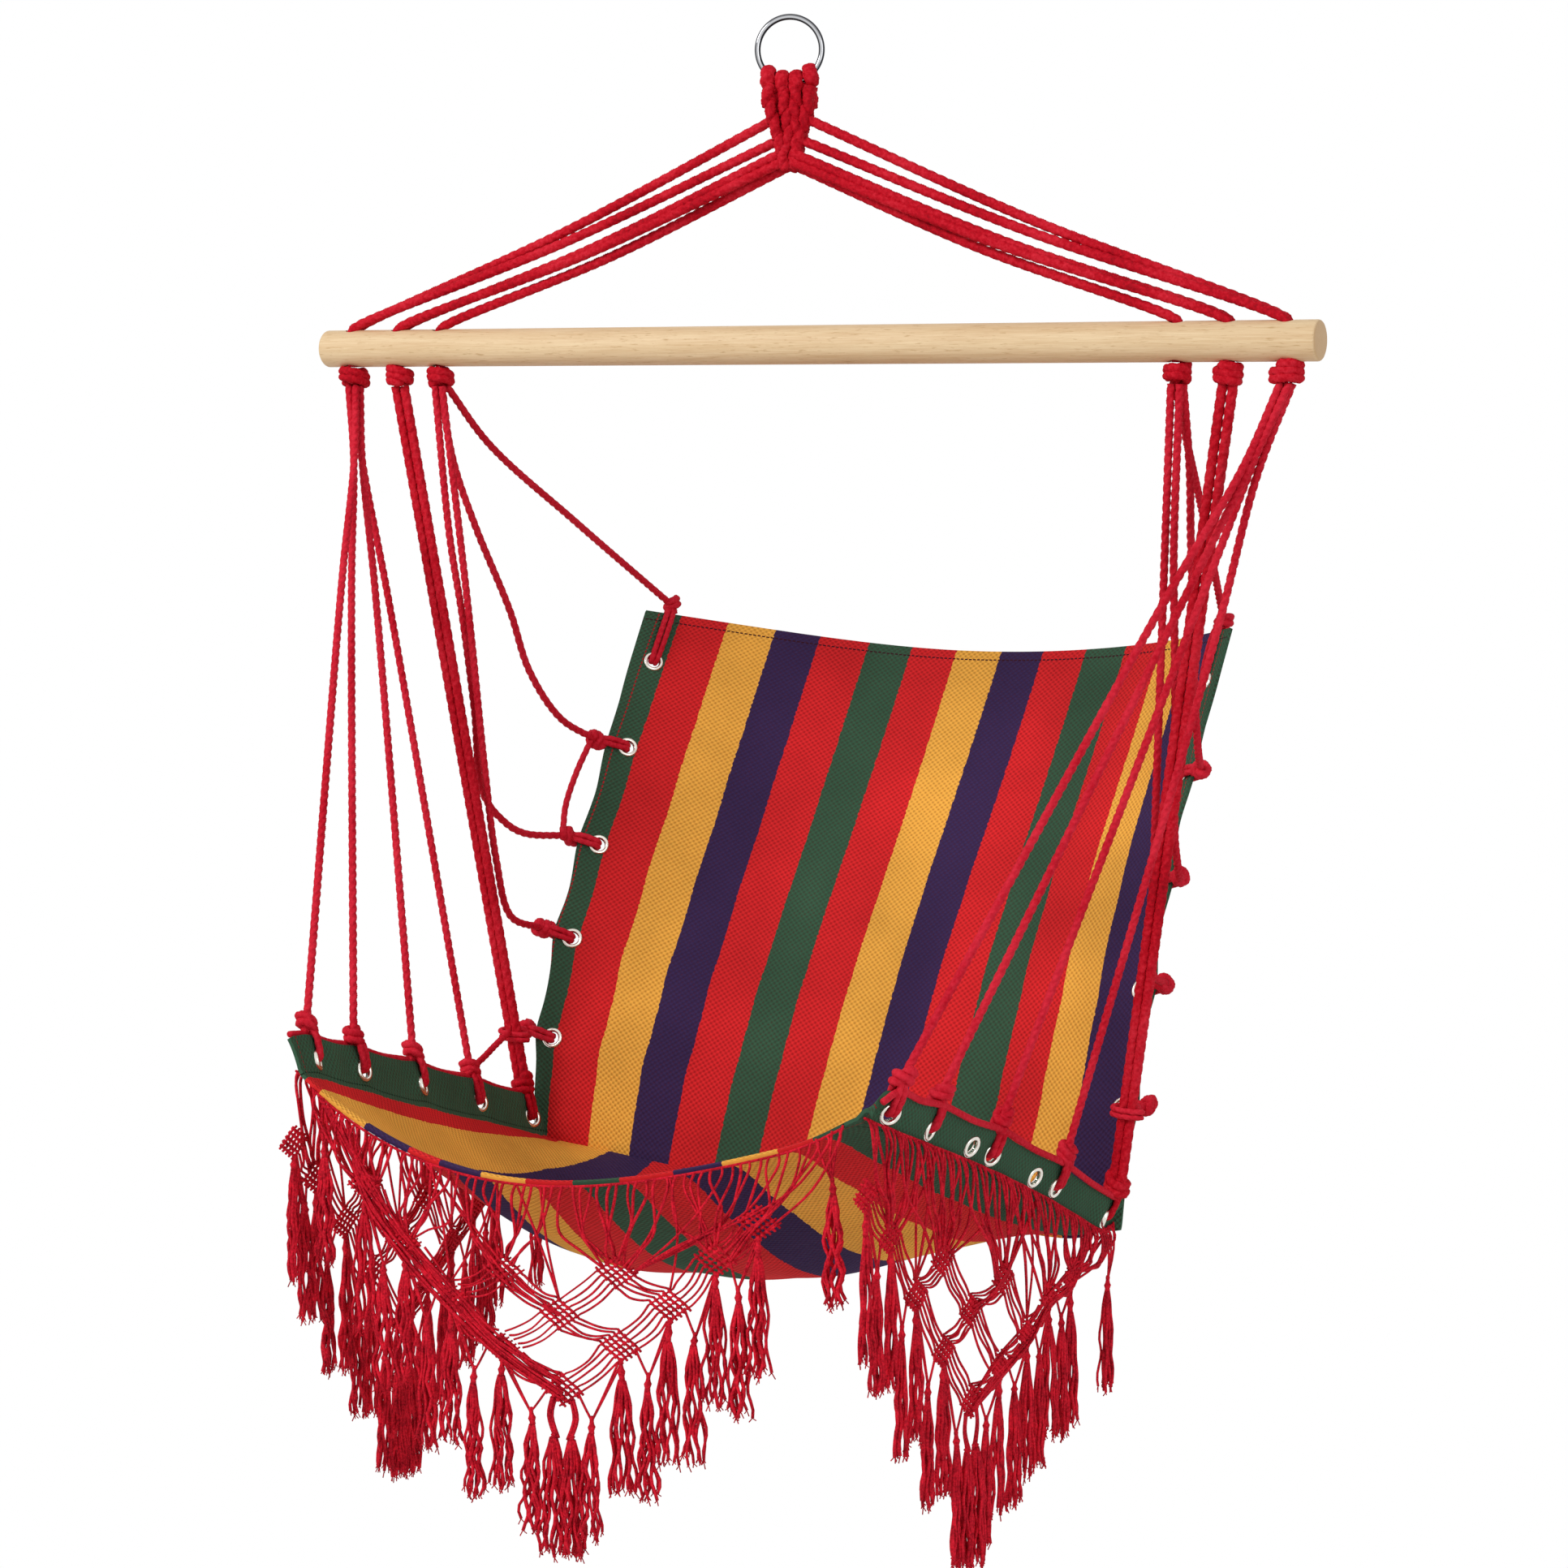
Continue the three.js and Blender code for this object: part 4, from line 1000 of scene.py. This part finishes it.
# Rear ropes
# Two 9.5 mm ropes on each side run side by side from the middle stopper knot to the seat's rear corner,
# where they meet in one knot.
REAR_SPREAD = 0.0048
REAR_KNOT_WIDE = 0.0245
REAR_KNOT_HIGH = 0.024
rear_runs = {}
for side, word in SIDES:
    place, normal, _ = seat_eyelets[side][4]
    knot = seat_knots[side][4]
    top = bundle_place(side, "middle", 0, 0)
    rear_runs[side] = (top, knot)
    for number, across in enumerate((-1, 1), 1):
        start = top + Vector((side * across * REAR_SPREAD, 0, 0))
        end = knot + Vector((side * across * ROPE * 0.8, 0, 0))
        taut_rope(f"rear_rope_{word}_{number}", "seat", f"rear_rope_{word}", [start, end], ROPE, rope_cotton,
                  phase=number)
    bm = bmesh.new()
    add_wound_knot(bm, knot, top - knot, REAR_KNOT_WIDE, REAR_KNOT_HIGH, KNOT_ROPE,
                   turns=2.1, start=side * 1.2, lean=0.6)
    add_tie(bm, place, normal, knot)
    corner = piece_from(bm, f"rear_corner_knot_{word}", rope_cotton)
    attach(corner, "seat")
    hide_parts(f"rear_rope_{word}")

# Back cords
# Four 7.5 mm cords on each side run from the inner stopper knot to the back's eyelets. The upper one is
# tight, and the others hang in slack curves before they come up to their knots. Each point of a route: the
# share of the way from start to knot, across, to the back and down
back_routes = [
    [(0.14, 0.19, 0.25), (0.52, 0.565, 0.6)],
    [(0.03, 0.11, 0.21), (0.17, 0.235, 0.38), (0.4, 0.45, 0.62), (0.53, 0.57, 0.79), (0.74, 0.77, 0.93)],
    [(0.15, 0.07, 0.32), (0.23, 0.17, 0.5), (0.3, 0.26, 0.7), (0.36, 0.32, 0.885), (0.5, 0.5, 0.955),
     (0.65, 0.66, 0.985)],
    [(0.33, 0.19, 0.4), (0.55, 0.31, 0.7), (0.68, 0.4, 0.86), (0.82, 0.54, 0.965)],
]
back_starts = [(-1, 1), (1, 1), (1, -1), (-1, -1)]


def back_knot(side, index):
    """Where the knot of a back eyelet stands: over the top hem, or beyond the side edge."""
    place, _, out = back_eyelets[side][index]
    beyond = HEM_HALF + KNOT + KNOT_GAP
    if index:
        inset = (place - back_at(side, back_eyelet_shares[index])).length
        return place + out * (inset + beyond)
    hem = back_at(side * back_eyelet_u, 1)
    inset = (hem - place).length
    return place.lerp(hem, (inset + beyond) / inset)


for side, word in SIDES:
    for index, route in enumerate(back_routes):
        knot = back_knot(side, index)
        start = bundle_place(side, "inner", *back_starts[index])
        points = [start]
        for shares in route:
            points.append(Vector([mix_of(a, b, share) for a, b, share in zip(start, knot, shares)]))
        points.append(knot)
        free_cord(f"back_side_cord_{index + 1}_{word}", f"back_cord_{index + 1}_{word}", points,
                  back_eyelets[side][index], knot)

# Back ties and edge ropes
# The lowest eyelet of the back is tied to the rear ropes by a short cord wound round them, and on the left
# its end goes on to the fourth seat cord. A thinner cord lies along the edge of each seat band and runs
# through its knots.
EDGE_CORD = 0.0030
THIN_CORD = 0.0033
TIE_KNOT = 0.0190
ROPE_KNOT = 0.0150
ROPE_KNOT_CORD = 0.0034
WINDING = (0.0136, 0.0078)
WINDING_HALF = 0.0052
edge_stations = (0.02, 0.08, 0.16, 0.243, 0.36, 0.482, 0.6, 0.734, 0.85, 0.96)
for side, word in SIDES:
    place, normal, _ = back_eyelets[side][4]
    knot = back_knot(side, 4)
    top, foot = rear_runs[side]
    middle = top.lerp(foot, (knot.z - top.z) / (foot.z - top.z))
    rope_knot = middle + Vector((0, ROPE + KNOT * 0.6, 0))
    down = (foot - top).normalized()
    bm = bmesh.new()
    add_wound_knot(bm, knot, rope_knot - knot, TIE_KNOT, TIE_KNOT, KNOT_CORD, turns=1.8, start=side, lean=0.7)
    add_wound_knot(bm, rope_knot, Vector((1, 0, 0)), ROPE_KNOT, ROPE_KNOT, ROPE_KNOT_CORD,
                   turns=1.6, start=side, lean=0.5)
    add_tie(bm, place, normal, knot)
    add_rope(bm, [knot, rope_knot], CORD)
    turns = []
    for i in range(25):
        a = math.pi * (0.5 + 4 * i / 24)
        around = Vector((math.cos(a) * WINDING[0], math.sin(a) * WINDING[1], 0))
        turns.append(middle + around + down * (WINDING_HALF * (i / 12 - 1)))
    add_rope(bm, turns, CORD * 0.72, phase=1.0)
    if side < 0:
        spot = min(seat_lines[(side, 3)], key=lambda p: abs(p.z - middle.z + 0.019))
        link = [
            middle + Vector((0, -0.0092, 0.004)),
            middle.lerp(spot, 0.35) + Vector((0, -0.004, 0.003)),
            middle.lerp(spot, 0.75),
            spot + Vector((-0.004, 0, -0.004)),
            spot + Vector((0.001, -0.0065, -0.004)),
            spot + Vector((0.0065, 0, 0.002)),
        ]
        add_rope(bm, link, THIN_CORD, phase=2.0)
        upper, lower = (back_knot(side, index) + Vector((-0.002, -0.006, 0)) for index in (1, 2))
        lace = [
            upper,
            upper.lerp(lower, 0.35) + Vector((-0.006, 0, 0)),
            upper.lerp(lower, 0.7) + Vector((-0.007, 0, 0)),
            lower,
        ]
        lacing_bm = bmesh.new()
        add_rope(lacing_bm, lace, THIN_CORD)
        lacing = piece_from(lacing_bm, "back_edge_lacing_left", cord_cotton)
        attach(lacing, "seat")
        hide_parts("back_cord_2_left", "back_cord_3_left")
    tie = piece_from(bm, f"back_rope_tie_{word}", cord_cotton)
    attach(tie, "seat")
    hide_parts(f"back_tie_{word}")
    stations = []
    for v in edge_stations:
        edge = seat_at(side, v)
        out = (edge - seat_at(side * FOLD_SHARE, v)).normalized()
        stations.append(edge + out * 0.0012 + Vector((side * (0.0010 + EDGE_CORD), 0, 0)))
    taut_rope(f"band_edge_cord_{word}", "seat", f"edge_rope_{word}", stations, EDGE_CORD, cord_cotton,
              depth=0.1, lay=0.03)

# Fringe
# Red cotton strings hang in loops from the front hem and from under the side bands. They are knotted into
# an open net of small square lattices that comes to a point, and end in frayed tassels along its foot.
STRING = 0.0011
LATTICE_STEP = (0.0043, 0.0030)
LATTICE_REACH = 2.7
# The level of each row of lattices, and its share of the net's depth
net_rows = {-1: 0.3, 0: 0.44, 1: 0.62, 2: 0.82, 3: 1.0}
binding_swell = [0.55, 0.7, 0.6, 0.75, 1.15, 0.8, 0.9]
# The two loops at the point open like an eye: half their width, by the way down
eye_bends = [(0.009, 0.008), (0.0125, 0.024), (0.006, 0.042)]

# Cotton string: matt and slightly furry, deep red in the shade of the bundles, with a painted highlight on
# its crests. One noise is the uneven dye, over 14 mm, and the other the twist of the string, 2 mm long, which
# also paints shade in its hollows.
string_cotton, node, shader = new_finish("red_cotton_string")
spot = node("TexCoord").outputs["Object"]
dye = node("TexNoise", {"Vector": spot, "Scale": 70.0, "Detail": 5.0, "Roughness": 0.65})
twist = node("TexNoise", {"Vector": spot, "Scale": 520.0, "Detail": 2.0})
# The twist lightens the colour on the bump's crests and darkens it in its hollows: painted highlight and
# painted shade
both = node("Math", {0: dye, 1: twist}, operation="ADD")
tone = node("Math", {0: both, 1: 0.5}, operation="MULTIPLY")
feed(shader, {
    "Base Color": node("ValToRGB", {"Fac": tone}, [(0.34, "860819"), (0.64, "F02238")]),
    "Normal": node("Bump", {"Height": twist, "Strength": 0.6, "Distance": 0.0005}),
    "Roughness": 0.75,
    "Specular IOR Level": 0.08,
})


def rounded(points, per=4):
    """The points with more between them, on a smooth curve."""
    ends = [points[0], *points, points[-1]]
    line = []
    for a, b, c, d in zip(ends, ends[1:], ends[2:], ends[3:]):
        for i in range(per):
            t = i / per
            square = 2 * a - 5 * b + 4 * c - d
            cube = 3 * b - a - 3 * c + d
            line.append(0.5 * (2 * b + (c - a) * t + square * t**2 + cube * t**3))
    return [*line, points[-1]]


def add_string(bm, line, radius, sides=4, swell=None):
    """A thin string of a few sides along the points."""
    side = (line[1] - line[0]).orthogonal().normalized()
    turns = [math.tau * k / sides for k in range(sides)]
    rings = []
    for i, (place, tangent) in enumerate(zip(line, directions(line))):
        side = (side - tangent * side.dot(tangent)).normalized()
        other = tangent.cross(side)
        size = radius * (swell[i] if swell else 1.0)
        rings.append([bm.verts.new(place + (side * math.cos(a) + other * math.sin(a)) * size) for a in turns])
    skin(bm, rings)


def add_tassel(bm, top, neck, length, strings, wide, face, out):
    """Cut strings under a small binding knot: they swell below it, wave a little and fray at their ends."""
    foot = top - upward(neck) + face * stray(0.002)
    binding = rounded([top, top.lerp(foot, 0.3), top.lerp(foot, 0.62), foot], 2)
    add_string(bm, binding, 0.0030, 6, binding_swell)
    down = Vector((0, 0, -1))
    for number in range(strings):
        angle = math.tau * (number + stray(0.3)) / strings
        share = rng.uniform(0.25, 1.0) ** 0.6
        lean = face * math.cos(angle) * share + out * math.sin(angle) * share * 0.55
        reach = length * rng.uniform(0.90, 1.0)
        phase = rng.uniform(0, 6)
        pace = rng.uniform(1.8, 3.2)
        sway = rng.uniform(0.0014, 0.0030)
        drift = face * stray(0.0035)
        line = []
        for i in range(15):
            t = i / 14
            belly = 0.62 * math.sin(math.pi * min(t * 1.25, 0.5))
            swell = wide * (0.22 + belly + 0.22 * max(t - 0.6, 0) * 2.5)
            wave = face * math.sin(phase + math.tau * pace * t) * sway * min(2 * t, 1)
            line.append(foot + lean * swell + wave + drift * t * t + down * reach * t)
        add_string(bm, line, rng.uniform(0.0012, 0.0016), 5)
        for hair in (-1, 1):
            away = face * hair * rng.uniform(0.001, 0.003) + out * stray(0.002)
            tip = line[-1] + away + down * rng.uniform(0.002, 0.006)
            add_string(bm, [line[-2], line[-1], tip], 0.0006, 3)


def fringe_piece(name, base, centre, span, depth, face, out, strap_side, pitch, bundle):
    """The net and tassels under one edge.

    base gives the edge by its share. Columns are counted from the net's point, which stands at the share
    centre, and are about one span apart. face runs along the edge, and out away from it. The strap lies on
    strap_side. pitch is the distance between strings at the edge, and bundle the strap's number of strings.
    """
    bm = bmesh.new()

    def share_of(column):
        return centre + column * span * (1 - 0.035 * abs(column))

    def spot(column, row):
        return base(min(max(share_of(column), 0.0), 1.0)) - upward(depth * row)

    def thread(points, per=4, thick=STRING):
        add_string(bm, rounded(points, per), thick)

    def tassel(top, neck, length, wide, strings=10):
        add_tassel(bm, top, neck, length, strings, wide, face, out)

    knots = {}
    for column in range(-4, 5):
        lowest = 3 - abs(column)
        for level, row in net_rows.items():
            hung = 0 <= level < lowest and (level + column) % 2 == 1
            if (level == lowest or hung) and -0.03 < share_of(column) < 1.03:
                jitter = face * stray(0.004) + upward(stray(0.003))
                knots[(column, level)] = spot(column, row) + jitter + out * rng.uniform(0.0, 0.003)
    right = face * LATTICE_STEP[0] + upward(-LATTICE_STEP[1])
    left = face * -LATTICE_STEP[0] + upward(-LATTICE_STEP[1])

    # Lattices: five strings each way, with a bead where two are knotted, closer together along the strap
    for (column, level), place in knots.items():
        size = 0.82 if column * strap_side > 0 and level == 3 - abs(column) else 1.0
        for i in range(-2, 3):
            for j in range(-2, 3):
                bead = place + (right * i + left * j) * size + out * rng.uniform(0.0, 0.0012)
                ball = rng.uniform(0.0019, 0.0024)
                bmesh.ops.create_icosphere(bm, subdivisions=1, radius=ball, matrix=Matrix.Translation(bead))
            for along, across in ((right, left), (left, right)):
                run = []
                for k, step in enumerate((-1, -0.4, 0.4, 1)):
                    over = out * 0.0009 * (1 if k % 2 else -1)
                    run.append(place + (along * step * LATTICE_REACH + across * i) * size + over)
                add_string(bm, run, STRING)

    # Links: the same strings run on, side by side, to the next lattices down
    for (column, level), place in knots.items():
        for step, along, across in ((1, right, left), (-1, left, right)):
            below = knots.get((column + step, level + 1))
            if below is None:
                continue
            for i in range(-2, 3):
                start = place + along * LATTICE_REACH + across * i
                stop = below - along * LATTICE_REACH + across * i
                slack = upward(-rng.uniform(0.0005, 0.0045)) + face * stray(0.0012)
                belly = out * rng.uniform(-0.001, 0.003)
                low = start.lerp(stop, 0.7) + slack * 0.8 + belly
                thread([start, start.lerp(stop, 0.33) + slack, low, stop], 3)

    # Straps: on one side the strings are drawn together in a loose bundle that runs down to the point
    strap_keys = [((4 - k) * strap_side, k - 1) for k in range(5)]
    strap = [knots[key] for key in strap_keys if key in knots]
    hem_end = 0.0 if strap_side < 0 else 1.0
    for _ in range(bundle):
        high = rng.uniform(-0.013, 0.011)
        points = [base(abs(hem_end - rng.uniform(0.0, 0.12))) + upward(-0.003) + out * 0.001]
        for p in strap:
            p = p + face * stray(0.004) + upward(high + stray(0.003))
            points.append(p + out * rng.uniform(-0.001, 0.004))
        thread(points, thick=STRING * rng.uniform(0.95, 1.2))
    second = [key for key in ((strap_side, 0), (0, 1)) if key in knots]
    for _ in range(4):
        points = [spot(strap_side * rng.uniform(2.0, 2.7), 0) + upward(-0.003)]
        for key in second:
            points.append(knots[key] + face * stray(0.006) + upward(stray(0.004)) + out * 0.002)
        thread(points)

    # Header: strings looped through the edge in threes, which part and close again on their way to the
    # first lattices
    edge = [base(i / 80) + upward(-0.0022) - out * 0.0006 for i in range(81)]
    count = int(line_length(edge) / pitch)
    first = [key for key in knots if key[1] == 0 or key == strap_keys[0]]
    for number in range(count):
        if number % 3 == 0:
            shift = stray(0.005)
            low = rng.uniform(0.022, 0.036)
        share = (number + rng.uniform(0.25, 0.75)) / count
        top = base(share) + upward(-0.0018) - out * 0.0004
        order = sorted(first, key=lambda key: abs(share_of(key[0]) - share))
        target = order[1] if len(order) > 1 and rng.random() < 0.16 else order[0]
        away = (share - share_of(target[0])) / span
        reach = min(max(away / 1.2 + stray(0.2), -1), 1)
        stop = knots[target] + face * reach * 0.0150 + upward((1 - abs(reach)) * 0.0105 + 0.001)
        stop += out * rng.uniform(-0.001, 0.002)
        fall = top + out * rng.uniform(0.0030, 0.0052) - upward(rng.uniform(0.009, 0.014))
        fall += face * stray(0.0025)
        gathered = base(min((number // 3 * 3 + 1.5) / count, 1.0)) + face * shift - upward(low)
        gathered += out * rng.uniform(0.002, 0.006)
        gathered = gathered.lerp(stop, 0.25) + face * stray(0.0018)
        spread = gathered.lerp(stop, 0.5) + face * stray(0.005) + out * rng.uniform(0.0, 0.004)
        thread([top, fall, gathered, spread, stop], thick=rng.uniform(0.0011, 0.0014))
    for _ in range(count // 10):
        column = rng.uniform(-3.2, 3.2)
        near = min(knots, key=lambda key: abs(key[0] - column) + (0 if key[1] == 1 else 9))
        place = knots[near]
        top = spot(column, 0) + upward(-0.003)
        if abs(near[0] - column) < 1.1:
            bend = top.lerp(place, 0.45) + face * stray(0.012) + out * 0.004
            thread([top + out * 0.002, bend, place + upward(0.012)], 5)
    add_string(bm, edge, 0.0012, 5)

    # Tassels: one under each edge lattice and one in each gap between them, and a broad one at the point
    foot = sorted(key for key in knots if key[1] == 3 - abs(key[0]))
    for key in foot:
        place = knots[key]
        if key != (0, 3):
            neck = rng.uniform(0.014, 0.022)
            tassel(place - upward(0.010), neck, rng.uniform(0.094, 0.105), rng.uniform(0.0095, 0.0120))
            continue
        for side in (-1, 1):
            eye = [place + face * side * wide - upward(low) for wide, low in eye_bends]
            for strand in (-0.0016, 0.0, 0.0016):
                thread([p + face * strand + out * stray(0.001) for p in eye], thick=0.0014)
            tassel(place + face * side * 0.0075 - upward(0.036), 0.006, 0.101, 0.0140, 14)
    for a, b in zip(foot, foot[1:]):
        low, high = (a, b) if knots[a].z < knots[b].z else (b, a)
        start, end = knots[low], knots[high]
        flat = Vector((end.x - start.x, end.y - start.y, 0))
        top = start + flat * rng.uniform(0.50, 0.62) - upward(0.019)
        under = end - upward(0.010)
        for corner in (start + flat.normalized() * 0.014, under, under + face * 0.003):
            thread([corner, corner.lerp(top, 0.6) - upward(0.003), top - upward(0.004)], 3)
        tassel(top, rng.uniform(0.010, 0.016), rng.uniform(0.090, 0.100), rng.uniform(0.0090, 0.0110))

    # Where the net ends short of the edge's end, one more tassel hangs there from three strings
    for end_share, last in ((0.02, foot[0]), (0.98, foot[-1])):
        rest = share_of(last[0]) if end_share < 0.5 else 1 - share_of(last[0])
        if rest > 0.09:
            top = base(end_share) - upward(depth * 0.22)
            for strand in (-1, 0, 1):
                hem = base(min(max(end_share + strand * 0.03, 0), 1))
                thread([hem, hem.lerp(top, 0.5) + out * 0.003, top - upward(0.003)], 3)
            tassel(top, 0.014, 0.092, 0.0105)
    piece = piece_from(bm, name, string_cotton)
    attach(piece, "seat")
    return piece


def front_base(share):
    """The front hem from left to right, on the face of the cloth."""
    return seat_at(0.95 * FOLD_SHARE * (2 * share - 1), 0) + Vector((0, -0.0023, 0))


def side_base(side):
    """The foot of one side band from front to rear, on its outer face, 4 mm above the fold."""
    fold = FOLD_SHARE + 0.004 * (1 - FOLD_SHARE) / BAND_HEIGHT
    return lambda share: seat_at(side * fold, share) + Vector((side * 0.0041, 0, 0))


front = fringe_piece("front_net", front_base, centre=0.472, span=0.1105, depth=0.171, face=Vector((1, 0, 0)),
                     out=Vector((0, -1, 0)), strap_side=-1, pitch=0.0094, bundle=12)
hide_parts("front_fringe")
for side, word in SIDES:
    net = fringe_piece(f"side_net_{word}", side_base(side), centre=0.395, span=0.1180, depth=0.207,
                       face=Vector((0, 1, 0)), out=Vector((side, 0, 0)), strap_side=1, pitch=0.0066, bundle=8)
    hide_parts(f"side_fringe_{word}")

# Studio
# A plain pale floor well below the chair, a white surround that lights it evenly, and two large soft lamps.
FLOOR_DROP = 1.9

# Matt painted floor: it takes the soft shadow, and the camera and glossy surfaces see it as white
floor_finish, node, shader = new_finish("pale_floor")
path = node("LightPath").outputs
seen = node("Math", {0: path["Is Camera Ray"], 1: path["Is Glossy Ray"]}, operation="MAXIMUM")
white = node("Emission", {"Color": (1, 1, 1, 1), "Strength": 1.0})
feed(shader, {"Base Color": srgb("F2F2F0"), "Roughness": 0.9})
blend = node("MixShader", {0: seen, 1: shader, 2: white})
feed(floor_finish.node_tree.nodes["Material Output"], {"Surface": blend})
bm = bmesh.new()
bmesh.ops.create_grid(bm, x_segments=1, y_segments=1, size=12, matrix=Matrix.Translation((0, 0, -FLOOR_DROP)))
floor = piece_from(bm, "pale_floor", floor_finish, smooth=False)

world = bpy.data.worlds.new("studio")
bpy.context.scene.world = world
world.use_nodes = True
world.node_tree.nodes.clear()
node = functools.partial(add_node, world.node_tree)
path = node("LightPath").outputs
direct = node("Math", {0: path["Is Camera Ray"], 1: path["Is Transmission Ray"]}, operation="MAXIMUM")
seen = node("Math", {0: direct, 1: path["Is Glossy Ray"]}, operation="MAXIMUM")
level = node("MapRange", {"Value": seen, "To Min": 0.5, "To Max": 1.0})
surround = node("Background", {"Color": (1, 1, 1, 1), "Strength": level})
node("OutputWorld", {"Surface": surround})

for name, place, aim, size, watts in (
    ("key_lamp", (-1.6, -2.6, 1.4), (0, 0, -0.8), 1.4, 62),
    ("fill_lamp", (2.6, -1.8, 0.2), (0, 0, -0.9), 1.6, 20),
):
    lamp_data = bpy.data.lights.new(name, "AREA")
    lamp_data.size = size
    lamp_data.energy = watts
    lamp = bpy.data.objects.new(name, lamp_data)
    lamp.location = place
    lamp.rotation_euler = (Vector(aim) - Vector(place)).to_track_quat("-Z", "Y").to_euler()
    bpy.context.scene.collection.objects.link(lamp)

bpy.context.scene.view_settings.view_transform = "Standard"
